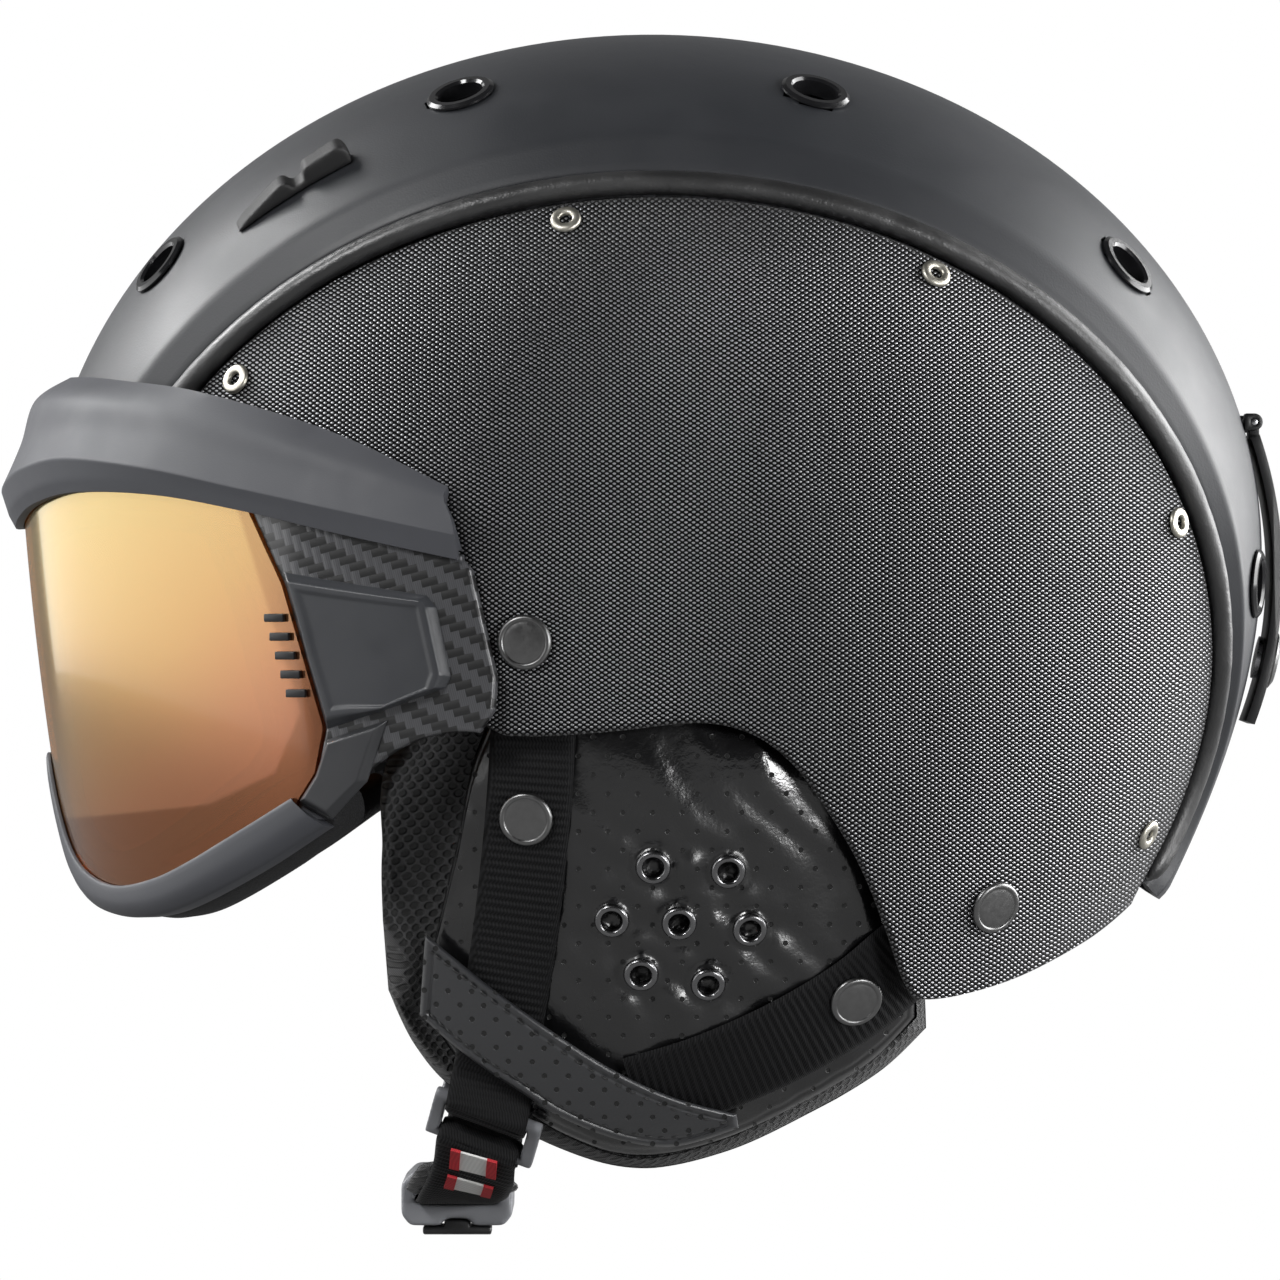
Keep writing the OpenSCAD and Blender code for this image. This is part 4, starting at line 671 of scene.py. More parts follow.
def lens_look():
    """Mirror coating that turns from gold at the top front to salmon red at the lower rear, partly the
    coating's own tone and partly painted reflection that makes it lighter at the top front, with a darker
    border where it lies over the foam spacer."""
    k = Look("mirror_lens", (0.9, 0.45, 0.12), 0.16, 0.8, Coat_Weight=0.4, Coat_Roughness=0.04)
    run = k.add(k.mul_add(k.x, 0.010, k.mul(k.z, -0.011)), k.mul(k.noise(60.0, 1.0), 0.12))
    # Partly painted reflection: besides the coating's gold to salmon-red tone, the ramp makes the lens
    # lighter at the top front and darker at the lower rear.
    tint_and_reflection = k.node("ShaderNodeValToRGB")
    k.put(k.ramp(run, -1.3, 0.05, 0.0, 1.0, "LINEAR"), tint_and_reflection.inputs[0])
    stops = [(0.0, (0.60, 0.47, 0.205)), (0.35, (0.54, 0.355, 0.150)), (0.6, (0.50, 0.25, 0.125)),
        (0.85, (0.44, 0.165, 0.095)), (1.0, (0.34, 0.11, 0.062))]
    e = tint_and_reflection.color_ramp.elements
    for i, (p, c) in enumerate(stops):
        el = e[i] if i < 2 else e.new(p)
        el.position, el.color = p, (*c, 1)
    past = None
    # Border lines: a point on each, and its outward direction, in side view
    for cx, cz, ax, az in ((-86.7, -10.6, 1.0, 0.32), (-78.7, -37.0, 1.0, -0.44), (-84.4, -50.0, 0.43, -0.9),
            (-105.0, -58.0, 0.12, -1.0)):
        d = k.add(k.mul_add(k.x, ax, -cx * ax), k.mul_add(k.z, az, -cz * az))
        past = d if past is None else k.math("MAXIMUM", past, d)
    border = k.mul(k.ramp(past, -0.6, 0.8), k.ramp(k.z, -58.0, -25.0, 0.8, 0.35))
    k.paint(border, tint_and_reflection.outputs[0], (0.24, 0.10, 0.04))
    k.cover(0.3, k.fed("ShaderNodeBsdfTransparent", {0: (0.95, 0.55, 0.22)}))
    return k.mat


def inner_lens_look():
    k = Look("inner_lens", (0.95, 0.72, 0.42), 0.12, 0.35)
    k.set("Roughness", k.ramp(k.noise(20.0), 0.3, 0.7, 0.08, 0.16))
    return k.mat


SHELL = plain_look("crown_matte", (0.021, 0.0225, 0.026), 0.46, 0.03, 0.5, 30.0, (-0.03, 0.06))
PANEL = panel_look()
LEATHER = leather_look("pad_leather", (0.006, 0.006, 0.0065), 0.22, (6.6, 8.4, 0.5, 0.12), 0.05)
BAND_LEATHER = leather_look("band_leather", (0.026, 0.027, 0.030), 0.36, (5.4, 6.4, 0.6, 0.1), 0.05)
PIPING = leather_look("piping_leather", (0.012, 0.012, 0.0125), 0.42)
WEBBING = webbing_look()
MESH = mesh_look()
KNIT = knit_look()
BEADS = foam_look("expanded_foam", 3.2, (0.035, 0.036, 0.04))
FACE_FOAM = foam_look("face_foam", 0.7, (0.014, 0.014, 0.015))
CARBON = carbon_look()
FRAME = plain_look("frame_satin", (0.048, 0.050, 0.058), 0.56, 0.02)
BOSS = plain_look("boss_satin", (0.040, 0.042, 0.047), 0.38, 0.02)
ARM = plain_look("arm_satin", (0.030, 0.031, 0.034), 0.4, 0.02)
GREY = plain_look("buckle_grey", (0.21, 0.215, 0.23), 0.32, 0.02)
BLACK = plain_look("black_satin", (0.014, 0.014, 0.015), 0.4, 0.03)
GLOSS = plain_look("black_gloss", (0.010, 0.010, 0.011), 0.17, 0.006)
RUBBER = plain_look("rubber", (0.013, 0.013, 0.0135), 0.6, 0.05, 0.3)
SILVER = metal_look("rivet_silver", (0.52, 0.50, 0.44), 0.42, 0.03, 0)
CAP = metal_look("cap_dark", (0.19, 0.19, 0.19), 0.34)
NICKEL = metal_look("dark_nickel", (0.2, 0.2, 0.205), 0.24)
MAGNET = metal_look("magnet_nickel", (0.5, 0.5, 0.52), 0.28)
LENS = lens_look()
INNER = inner_lens_look()
LABEL = label_look("woven_label", (0.8, 0.8, 0.78), (0.78, 0.78, 0.76), (0.92, 0.92, 0.9))
STRIPE = label_look("red_stripe", (0.55, 0.02, 0.03), (0.4, 0.012, 0.02), (0.62, 0.03, 0.04))
THREAD = plain_look("thread", (0.014, 0.014, 0.0145), 0.55, 0.05, 0.3)


# Crown, panels and piping

BORDER = PIPING_D + 2 * GAP
ROLL = (0.9, 0.3)
VENT_R, MAGNET_R, HOLE_DEPTH = 6.9, 6.3, 9


def crown_row(f, edge_t, crease_t, inner):
    """One row across the crown, from the left edge over the top to the right edge."""
    c = beside(f, BORDER + lookup(f, BEVEL_W), crease_t)
    e = beside(f, BORDER, edge_t)
    t = -CROWN_T if inner else 0
    left = [mix(e, c, s) for s in (0.0, 0.04, 0.12, 0.3, 0.55, 0.8, 0.93)]
    a, b = math.degrees(math.atan2(c[2], c[0])), math.degrees(math.acos(-c[1] / (HALF_W + crease_t)))
    left += [on_polar(a, mix(b, 90, s), t) for s in (0.012, 0.03, 0.06, *np.linspace(0.1, 1, 34))]
    if not inner:
        n = outward(e)
        for i, d in enumerate(ROLL):
            left[i] = left[i] - n * d
    return left + [p * vec(1, -1, 1) for p in left[-2::-1]]


def crown():
    shares = 1 - spaced(150, 0.35)
    outer = np.array([crown_row(f, 0.8 + PANEL_OUT, 0, False) for f in shares])
    inner = np.array([crown_row(f, -1.6 + PANEL_OUT, -CROWN_T - 1, True) for f in shares])
    for i, d in zip((0, 1, -1, -2), ROLL * 2):
        outer[i] = outer[i] - np.array([outward(p) for p in outer[i]]) * d
    v, f = slab(outer, inner)
    mid = v[np.array([q[:4] for q in f])].mean(axis=1)
    keep = np.ones(len(f), bool)
    for side in (1, -1):
        for a, across in VENTS:
            p = on_polar(a, math.degrees(math.acos(across / HALF_W)), 0) * vec(1, side, 1)
            d, n = mid - p, outward(p)
            h = d @ n
            r = np.linalg.norm(d - np.outer(h, n), axis=1)
            keep &= ~((r < VENT_R) & (abs(h) < HOLE_DEPTH))
    return v, [q for q, k in zip(f, keep) if k]


def side_panel():
    spot = lambda u, v: mix(curve(PANEL_LOW, u), edge_at(u), v)
    v, f = shaped(spot, lambda p, t: on_side(p, PANEL_OUT, t), 170, 70,
        lambda p, d: PANEL_OUT - rolled(d, 1.3) * 0.9, lambda p, d: PANEL_IN, 0.35)
    mid = v[np.array(f)].mean(axis=1)
    near = np.linalg.norm(mid - on_side(MAGNET_PLACE, PANEL_OUT, PANEL_OUT), axis=1) > MAGNET_R
    return v, [q for q, k in zip(f, near) if k]


def piping():
    """Round piping, a little uneven, with closed ends."""
    n = 260
    pts = [beside(f, GAP + PIPING_D / 2, PANEL_OUT + 0.4) for f in np.linspace(0, 1, n + 1)]
    rings = []
    for k, p in enumerate(pts):
        s = unit(np.cross(heading(pts, k), outward(p)))
        uneven = 0.985 + 0.012 * math.sin(k * 1.31) + 0.01 * math.sin(k * 0.37 + 1)
        end = math.sqrt(max(0.05, 1 - (1 - min(k, n - k, 4) / 4) ** 2))
        rings.append(ring(p, PIPING_D / 2 * uneven * end, np.cross(s, heading(pts, k)), s, 18))
    return tube(rings)


skin("crown_shell", crown(), SHELL, 50)
both("side_panel", side_panel(), PANEL, 50)
both("panel_piping", piping(), PIPING)


# Padding inside

def low_edge(a, hang): return lookup(a if a <= 180 else 360 - a, FOAM_LOW) - hang


def ring_level(k, n, low, t):
    h = TOP + t
    last = math.degrees(math.asin(low / h)) if low >= 0 else math.degrees(low / h)
    a = mix(90, last, k / n)
    return h * sin(a) if a >= 0 else h * math.radians(a)


def foam_layer(p):
    """Layer of the foam's outside: deeper under the textile panels than under the crown."""
    e = ((p[0] - 0.8) / 140.2) ** 2 + ((p[2] + 36) / 130) ** 2
    return mix(FOAM_SIDE, FOAM_TOP, min(max((e - 1) / 0.12, 0), 1))


def bowl(outer_t, inner_t, hang, cols, rows, puff=lambda a, f: 0, rise=False):
    """Open bowl on the head form, rolled at its rim; rise: its outside follows foam_layer."""
    angles = np.arange(cols) * 360 / cols

    def outside(k, a):
        z = ring_level(k, rows, low_edge(a, hang), outer_t)
        if not rise:
            return on_section(a, z, outer_t)
        t = foam_layer(on_section(a, z, outer_t))
        return on_section(a, z * (TOP + t) / (TOP + outer_t), t)

    def inside(k, a):
        return on_section(a, ring_level(k, rows, low_edge(a, hang), inner_t), inner_t + puff(a, k / rows))
    out, inn = (np.array([[at(k, a) for a in angles] for k in range(1, rows + 1)])
        for at in (outside, inside))
    for k, drop in enumerate((1.6, 0.7, 0.2)):
        for g, s in ((out, -1), (inn, 1)):
            for j in range(cols):
                g[-1 - k, j] += outward(g[-1 - k, j]) * drop * s
    n = rows * cols
    poles = [[0, 0, TOP + (FOAM_TOP if rise else outer_t)], [0, 0, TOP + inner_t + puff(0, 0)]]
    verts = np.concatenate([out.reshape(-1, 3), inn.reshape(-1, 3), poles])
    steps = [(j, (j + 1) % cols) for j in range(cols)]
    faces = grid_faces(rows, cols, 0, True) + [q[::-1] for q in grid_faces(rows, cols, n, True)]
    faces += [(n - cols + j, n - cols + i, 2 * n - cols + i, 2 * n - cols + j) for j, i in steps]
    faces += [(2 * n, i, j) for j, i in steps] + [(2 * n + 1, n + j, n + i) for j, i in steps]
    return verts, faces


def quilt(a, f):
    """Sewn channels of the lining: padded fields between seams, flat at the rim."""
    u = abs(math.sin(math.radians(a) * 5))
    v = abs(math.sin(f * math.pi * 3.5))
    return 1.7 * (1 - min(1, (u * v) ** 0.35)) * smooth_step(f * 6)


skin("energy_foam", bowl(FOAM_SIDE, FOAM_IN, 0, 144, 44, rise=True), BEADS, 60)
lining = skin("comfort_lining", bowl(LINING_OUT, LINING_IN, LINING_HANG, 200, 60, quilt), KNIT,
    70)


def neck_roll():
    """Two padded rolls, full in the middle, pinched at their ends and at one seam."""
    rings = []
    for f in np.arange(61) / 60:
        a = mix(128, 160, f)
        z = lookup(a, FOAM_LOW) - 9.6
        full = math.sqrt(max(0.04, 1 - abs(2 * f - 1) ** 5))
        seam = 1 - 0.16 * math.exp(-((f - 0.5) / 0.03) ** 2)
        rings.append([on_section(a, z - 0.4 + 9.3 * full * seam * sin(b),
            FOAM_IN + 6.8 + 6.2 * full * seam * cos(b)) for b in np.arange(28) * 360 / 28])
    return tube(rings)


def pad_spot(low, high): return lambda u, v: mix(curve(low, u), curve(high, u), v)


# Ear pads

PAD_BACK = PANEL_IN - 8.6


def wrinkle(p):
    x, z = p
    w = 0.5 * math.sin(x * 0.21 + 0.9 * math.sin(z * 0.13)) * math.sin(z * 0.17 + 0.7 * math.sin(x * 0.11))
    return w + 0.22 * math.sin(x * 0.52 + z * 0.37 + 1.3 * math.sin(z * 0.2))


def ear_top(p, d):
    """Outside of the ear pad: rolled edge, seam, wrinkles and a pucker round each eyelet."""
    t = pad_layer(p) - rolled(d, 4.5) * 0.75
    for e in EYELETS:
        q = math.hypot(p[0] - e[0], p[1] - e[1])
        if q < 20:
            g = math.atan2(p[1] - e[1], p[0] - e[0])
            t -= 2.3 * math.exp(-(q / 6.0) ** 2) * smooth_step((q - 3.2) / 1.4)
            t += 0.4 * math.exp(-((q - 8) / 2.8) ** 2) * math.cos(5 * g + e[0])
            t -= 2.4 * smooth_step((2.7 - q) / 0.8)
    seam = 0.5 * math.exp(-((d - 3.0) / 0.7) ** 2)
    return t + wrinkle(p) * float(smooth_step((d - 2) / 8)) - seam


def rim_top(p, d): return PAD_BACK - GAP - rolled(d, 5.0) + 2.6 * math.exp(-((d - 6.0) / 4.0) ** 2)


def rim_bottom(p, d):
    bulge = 1.0 - min(1.0, (abs(math.sin(p[0] * 0.075)) * abs(math.sin(p[1] * 0.06))) ** 0.4)
    return PAD_BACK - 8.0 + rolled(d, 4.0) + 1.2 * bulge


ear = shaped(pad_spot(PAD_LOW, PAD_HIGH), on_ear, 190, 170, ear_top,
    lambda p, d: PAD_BACK + rolled(d, 2.5), 0.3)
for o in both("ear_pad", ear, LEATHER, 60):
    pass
ear_rim = shaped(pad_spot(RIM_LOW_PAD, RIM_HIGH_PAD), on_ear, 120, 110, rim_top, rim_bottom, 0.5)
for o in both("ear_lining", ear_rim, MESH, 70):
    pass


# Straps and band on the ear pads

RIB = 1.75
BAND_LIFT = STRAP_LIFT + STRAP_T + 3 * GAP


def ribs(run, d):
    """Height of the woven ribs at a length along the strap, gone at its selvedges."""
    w = 0.5 + 0.5 * math.cos(2 * math.pi * run / RIB)
    return 0.42 * w * float(smooth_step((d - 0.5) / 1.0)) - 0.08


def strap(rows, cols, at):
    """Closed sheet of a strap: at(row, share across from 1 to -1, distance from the selvedge) gives a point
    of its outside and one of its inside."""
    grid = np.array([[at(k, s, (1 - abs(s)) * STRAP_W / 2) for s in 1 - 2 * spaced(cols, 0.5)]
        for k in range(rows)])
    return slab(grid[:, :, 0], grid[:, :, 1])


def lengths(pts):
    """Length of a line of points up to each of them."""
    return np.concatenate([[0], np.cumsum(np.linalg.norm(np.diff(np.array(pts), axis=0), axis=1))])


def pad_strap(line):
    mids = [curve(line, f) for f in np.arange(331) / 330]
    run = lengths(mids)

    def at(k, s, edge):
        d = heading(mids, k)
        p = mids[k] + vec(-d[1], d[0]) * s * STRAP_W / 2
        top = over_pad(p, STRAP_LIFT + STRAP_T)
        return (on_ear(p, top + ribs(run[k], edge) - rolled(edge, 0.7) * 0.6),
            on_ear(p, top - STRAP_T + rolled(edge, 0.7) * 0.4))
    return strap(len(mids), 14, at)


def band_top(p, d):
    groove, hem = math.exp(-((d - 2.6) / 0.45) ** 2), math.exp(-((d - 1.3) / 0.7) ** 2)
    return pad_layer(p) + BAND_LIFT + CROSS_T - rolled(d, 1.2) * 0.9 - 0.35 * groove + 0.25 * hem


def stitches(count, place):
    """Short thread stitches along a line, each a small capsule that dips in at both ends."""
    length, radius, parts = 2.4, 0.32, []
    for k in range(count):
        p, t, n = place((k + 0.5) / count)
        shares = np.arange(7) / 6 * 2 - 1
        parts.append(tube([ring(p + t * u * length / 2 + n * (0.22 - 0.38 * u * u),
            radius * math.sqrt(max(0.06, 1 - u ** 4)), n, np.cross(t, n), 6) for u in shares]))
    return joined(parts)


def band_line(inset):
    """Places, with their directions, on a line that far inside the band's lower edge, or its upper one
    if inset is below 0."""
    def at(f):
        lo, hi = curve(BAND_LOW, f), curve(BAND_HIGH, f)
        s = inset / np.linalg.norm(hi - lo)
        return mix(lo, hi, s) if s > 0 else mix(hi, lo, -s)

    def place(f):
        f = 0.03 + 0.94 * f
        q = at(f)
        lay = lambda p: on_ear(p, pad_layer(p) + BAND_LIFT + CROSS_T - 0.3)
        t = unit(lay(at(min(1, f + 0.01))) - lay(at(f - 0.01)))
        n = normal_of(on_ear, q, pad_layer(q))
        return lay(q), t, unit(n - t * (n @ t))
    return place


both("front_strap", pad_strap(FRONT_STRAP), WEBBING, 75)
both("rear_strap", pad_strap(REAR_STRAP), WEBBING, 75)
band = shaped(pad_spot(BAND_LOW, BAND_HIGH), on_ear, 170, 46, band_top,
    lambda p, d: pad_layer(p) + BAND_LIFT + rolled(d, 0.8) * 0.4, 0.4)
both("cross_band", band, BAND_LEATHER, 60)
seams = joined([stitches(26, band_line(2.6)), stitches(24, band_line(-2.6))])
both("cross_band_stitches", seams, THREAD, node=False)


# Chin strap: the same path as the CAD solids

LOOP_TOP, LOOP_LOW = vec(-37, -127), vec(-39.3, -135)
LOOP_LAYER = pad_layer(LOOP_TOP) + 3.2
UPPER, LOWER = on_ear(LOOP_TOP, LOOP_LAYER), on_ear(LOOP_LOW, LOOP_LAYER)
LOOP_DIR = unit(LOWER - UPPER)
LOOP_SIDE = unit(np.cross(LOOP_DIR, normal_of(on_ear, (LOOP_TOP + LOOP_LOW) / 2, LOOP_LAYER)))
LOOP_OUT = np.cross(LOOP_SIDE, LOOP_DIR)
FOLD_R = LOOP_BAR / math.sqrt(2) + GAP + STRAP_T / 2
PAD_FROM, PAD_TO = 0.13, 0.72
LABEL_W, LABEL_PLACES = 10.5, (-0.1, 0.09)


def fold(c, d, n, leg):
    """Path round the bar at c, with a leg on its far side."""
    arc = [c + FOLD_R * (n * sin(a) - d * cos(a)) for a in range(-75, 76, 15)]
    return [c - n * FOLD_R + d * leg, c - n * FOLD_R, *arc, c + n * FOLD_R]


def ribbon(pts, dirs):
    """Woven strap on a smooth line through the points, from their directions across it."""
    last, step = len(pts) - 1, 0.42
    spots = [(i, k / 12) for i in range(last) for k in range(12)]
    line = np.array([curve(pts, (i + s) / last) for i, s in spots] + [pts[-1]])
    sides = np.array([mix(dirs[i], dirs[i + 1], s) for i, s in spots] + [dirs[-1]])
    run = lengths(line)
    even = np.linspace(0, run[-1], max(4, int(run[-1] / step)) + 1)
    p, q = (np.array([[np.interp(s, run, g[:, i]) for i in range(3)] for s in even]) for g in (line, sides))

    def at(k, s, edge):
        d = heading(p, k)
        up = unit(np.cross(d, q[k]))
        h = STRAP_T / 2 - rolled(edge, 0.6) * 0.7 + 0.6 * ribs(even[k], edge)
        c = p[k] + np.cross(up, d) * s * STRAP_W / 2
        return c + up * h, c - up * h
    return strap(len(p), 12, at)


def chin_side(f): return unit(mix(LOOP_SIDE, vec(-1, 0, 0), min(1, 1.6 * f + 0.16)))


def chin_strap(last):
    folded = fold(LOWER, LOOP_DIR, LOOP_OUT, 6)
    shares = [last * k / 10 for k in range(11)]
    return ribbon(folded + [curve(CHIN_LINE, f) for f in shares],
        [LOOP_SIDE] * len(folded) + [chin_side(f) for f in shares])


def loop_tab():
    top, edge = vec(-35.2, -113.5), vec(-36.2, -120.6)
    lying = lambda p: on_ear(p, pad_layer(p) + STRAP_T / 2 + 0.1)
    across = lambda p: unit(lying(p + vec(1, -0.55)) - lying(p - vec(1, -0.55)))
    folded = fold(UPPER, -LOOP_DIR, LOOP_OUT, 1.5) + [UPPER + LOOP_OUT * FOLD_R - LOOP_DIR * 1.8]
    side = LOOP_SIDE * math.copysign(1, LOOP_SIDE[0])
    return ribbon(folded + [lying(edge), lying(top)], [side] * len(folded) + [across(edge), across(top)])


def chin_pad():
    steps, m, half_w, half_t = 60, 26, STRAP_W / 2 + 2.5, 2.0
    shares = [mix(PAD_FROM, PAD_TO, k / steps) for k in range(steps + 1)]
    pts = [curve(CHIN_LINE, f) for f in shares]
    rings = []
    for k, f in enumerate(shares):
        d = heading(pts, k)
        n = unit(np.cross(d, chin_side(f)))
        s = np.cross(d, n)
        e = math.sqrt(max(0.03, 1 - abs(2 * k / steps - 1) ** 6))
        c = pts[k] + n * (STRAP_T / 2 + GAP + half_t)
        bulge = lambda v, power: math.copysign(abs(v) ** power, v)
        rings.append([c - s * half_w * e * bulge(cos(a), 0.75) + n * half_t * e * bulge(sin(a), 0.9)
            for a in np.arange(m) * 360 / m])
    return tube(rings)


def label(f, lo, hi, longer, lift):
    """Woven label, or a stripe on it, from a share f of the strap, between two shares of its half width."""
    shares = [f + (0.11 if f == LABEL_PLACES[1] else 0.17) * (k / 10 * (1 + 2 * longer) - longer)
        for k in range(11)]
    start = LOWER + LOOP_OUT * (FOLD_R + 0.2)
    pts = [curve(CHIN_LINE, s) if f >= 0 else mix(start, vec(*CHIN_LINE[0]), 5.6 * (s - f) - 0.1)
        for s in shares]
    outer, inner = [], []
    for k, p in enumerate(pts):
        d = heading(pts, k)
        n = unit(np.cross(d, -chin_side(max(0, shares[k]))))
        x = np.cross(n, d)
        x = x * math.copysign(1, x[0])
        across = [p + x * u * LABEL_W / 2 for u in np.linspace(lo, hi, 9)]
        outer.append([a + n * (STRAP_T / 2 + 0.45 + lift) for a in across])
        inner.append([a + n * (STRAP_T / 2 + 0.3) for a in across])
    return slab(outer, inner)


both("loop_tab", loop_tab(), WEBBING, 75)
skin("chin_strap_left", chin_strap(1), WEBBING, 75)
skin("chin_strap_right", chin_strap(0.74), WEBBING, 75, "chin_closure", True)
skin("chin_pad", chin_pad(), MESH, 75)
neck = joined([neck_roll(), flipped(neck_roll())])
skin("neck_pad", neck, KNIT, 75)
labels = joined([label(f, -1, 1, 0, 0.35) for f in LABEL_PLACES])
skin("strap_labels", labels, LABEL, 60)
stripes = joined([label(f, lo, lo + 0.44, 0.02, 0.57) for f in LABEL_PLACES for lo in (-1.04, 0.6)])
finish_mesh("strap_label_stripes", stripes, STRIPE, "helmet", sharp=60)

for side in ("left", "right"):
    softened(f"divider_loop_{side}", GREY, 0.4, 8)
softened("buckle_housing", GREY, 0.5, 44)
dressed("buckle_tongue", BLACK, 0.6, 3)
dressed("buckle_release_tab", BLACK, 0.5, 3)


# Small parts on the shell

dressed("vent_rings", GLOSS)
dressed("helmet_magnets", MAGNET)
dressed("visor_magnets", MAGNET)
for side in ("left", "right"):
    softened(f"park_rest_{side}", RUBBER, 0.4, 24)
dressed("holder_hinge_base", BLACK, 0.4)
dressed("holder_hinge_pin", MAGNET, 0.2)
dressed("holder_band", BLACK, 0.5)
dressed("holder_snap_stud", MAGNET)
dressed("holder_snap_cap", CAP)
dressed("fit_cradle", BLACK, 0.4)
dressed("fit_dial_axle", BLACK, 0.3)
dressed("fit_dial", BLACK, 0.35)

# Snap cap: rolled rim, a fine groove, a dished face and a raised centre
CAP_PROFILE = [(0, 0.5), (5.4, 0.5), (5.95, 0.6), (6.1, 0.8), (6.05, 1.15), (5.85, 1.5), (5.5, 1.68),
    (5.15, 1.72), (4.9, 1.62), (4.75, 1.42), (4.6, 1.4), (4.4, 1.46), (3.9, 1.53), (3.0, 1.6), (1.5, 1.67),
    (0.001, 1.7)]
RIVET_PROFILE = [(1.4, 0.3), (3.5, 0.3), (3.5, 0.6), (3.38, 0.95), (3.05, 1.2), (2.5, 1.3), (1.95, 1.26),
    (1.6, 1.1), (1.42, 0.75), (1.4, 0.3)]
EYELET_PROFILE = [(2.3, -0.5), (2.3, 0.4), (2.42, 0.8), (2.7, 1.05), (3.1, 1.1), (3.5, 0.98), (3.82, 0.62),
    (3.98, 0.1), (3.9, -0.2), (2.3, -0.5)]
RIVETS = [(-93.7, 38.2), (-19.4, 73.4), (63.5, 61.6), (119.5, 6.2), (113.5, -65)]


def on_panel(c):
    p = on_side(c, PANEL_OUT, PANEL_OUT)
    return p, outward(p)


def on_pad(c, t): return on_ear(c, t), normal_of(on_ear, vec(*c), t)


def turned(node, profile, places, mat, sharp):
    """One turned piece at each place, and their mirror images."""
    parts = [lathe(profile, *place) for place in places]
    skin(node, joined(parts + [flipped(c) for c in parts]), mat, sharp)


turned("panel_rivets", RIVET_PROFILE, [on_panel(c) for c in RIVETS], SILVER, 45)
turned("ear_eyelets", EYELET_PROFILE, [on_pad(c, pad_layer(c)) for c in EYELETS], NICKEL, 45)
turned("strap_anchor_caps", CAP_PROFILE, [on_panel(c) for c in STRAP_CAPS], CAP, 40)
on_strap = [on_pad(c, over_pad(c, STRAP_LIFT + STRAP_T)) for c in SNAP_PLACES]
turned("strap_snap_caps", CAP_PROFILE, on_strap, CAP, 40)


# Visor

RIM_LAYERS = [(0, 0.5), (44, 0.5), (57, GAP + PANEL_OUT), (90, GAP + PANEL_OUT)]
REBATE = LENS_LAP + GAP
BROW_END = lookup(LENS_SIDE[5][1], BROW_LOW)
PLATE_FOOT, PLATE_TOP = -60.4, BROW_END + LENS_LAP
FRAME_BACK = -LENS_T - 2.6


def line_at(line, k, n):
    """Point of a line given for one half, at k from -n on the right to n on the left."""
    return curve([(-x, z) for x, z in line[:0:-1]] + list(line), 0.5 + 0.5 * k / n)


def at_visor(p, t): return on_visor(p[0], p[1], t)


def brow():
    n = 100
    lines = [BROW_LOW, BROW_CREASE, BROW_MID, BROW_SHOULDER]

    def stand(r, k): return mix(BROW_OUT[r][0], BROW_OUT[r][1], abs(k) / n)
    def spot(r, k, rise, t): return at_visor(line_at(lines[r], k, n) + vec(0, rise), t)

    def top(k, drop, t):
        p = line_at(BROW_TOP, k, n)
        return on_section(p[0], p[1] - drop, lookup(abs(p[0]), RIM_LAYERS) + t)

    def outer(k):
        low, crease = stand(0, k), spot(1, k, 0, stand(1, k))
        lead = [spot(0, k, 2.8 * f * REBATE, mix(low, stand(1, k), f))
            for f in (0.02, 0.08, 0.16, 0.25, 0.4, 0.5)]
        middle = [mix(lead[-1], crease, f) for f in (0.2, 0.45, 0.7, 0.88, 0.96)]
        upper = [crease, spot(2, k, 0, stand(2, k)), spot(3, k, 0, stand(3, k)), top(k, 0, 1.2)]
        shares = [0.012, 0.03, 0.06, *np.linspace(0.1, 0.97, 26), 0.99]
        return [spot(0, k, 0, low - 0.5), *lead, *middle, *(curve(upper, f) for f in shares),
            top(k, 0.3, 0.75)]

    def inner(k, count):
        pts = [spot(0, k, 0.1, GAP), spot(0, k, REBATE, GAP), spot(0, k, REBATE, -VISOR_T),
            spot(1, k, 0, stand(1, k) - 1.2 * VISOR_T), spot(2, k, -0.6, stand(2, k) - VISOR_T),
            spot(3, k, -1.6, stand(3, k) - 0.8 * VISOR_T), top(k, 1.4, 0)]
        return [along(pts, f) for f in np.linspace(0, 1, count)]
    ks = both_ways(n, 0.15)
    out = [outer(k) for k in ks]
    return slab(out, [inner(k, len(out[0])) for k in ks])


def plate_front(z):
    """Front edge of the side plate, just behind the lens, with a slanted foot."""
    return lens_edge(z) + 0.25 + max(0, -57 - z) * 0.9


def side_plate():
    sag, rear_top = 6, lookup(PLATE_REAR[4][1], BROW_LOW) + 1

    def spot(f, v):
        z, back = mix(PLATE_FOOT, PLATE_TOP, v), mix(PLATE_REAR[0][0], rear_top, v)
        p = mix(vec(plate_front(z), z), vec(lookup(back, PLATE_REAR), back), f)
        return vec(p[0], p[1] + (1 - v) * sag * 4 * f * (1 - f))
    return shaped(spot, at_visor, 70, 80, lambda p, d: -rolled(d, 1.1), lambda p, d: -VISOR_T, 0.35)


def lens_shelf():
    """Shelf behind the lens edge that carries it."""
    corners = ((0.4, -1.7), (-1.6, -1.7), (-1.6, -3.4), (0.4, -3.5))
    return tube([[on_visor(plate_front(z) + a, z, t) for a, t in corners]
        for z in mix(PLATE_FOOT, PLATE_TOP, np.linspace(0, 1, 40))])


def raised(front, rear, n, m, k, top):
    spot = lambda u, v: mix(along(front, v), along(rear, v), u)
    return shaped(spot, at_visor, n, m, top, lambda p, d: 0.05, k)


def boss_top(p, d):
    return BOSS_H * float(smooth_step((d + 0.4) / 2.6)) - 0.45 * float(smooth_step((d - 3.2) / 1.2))


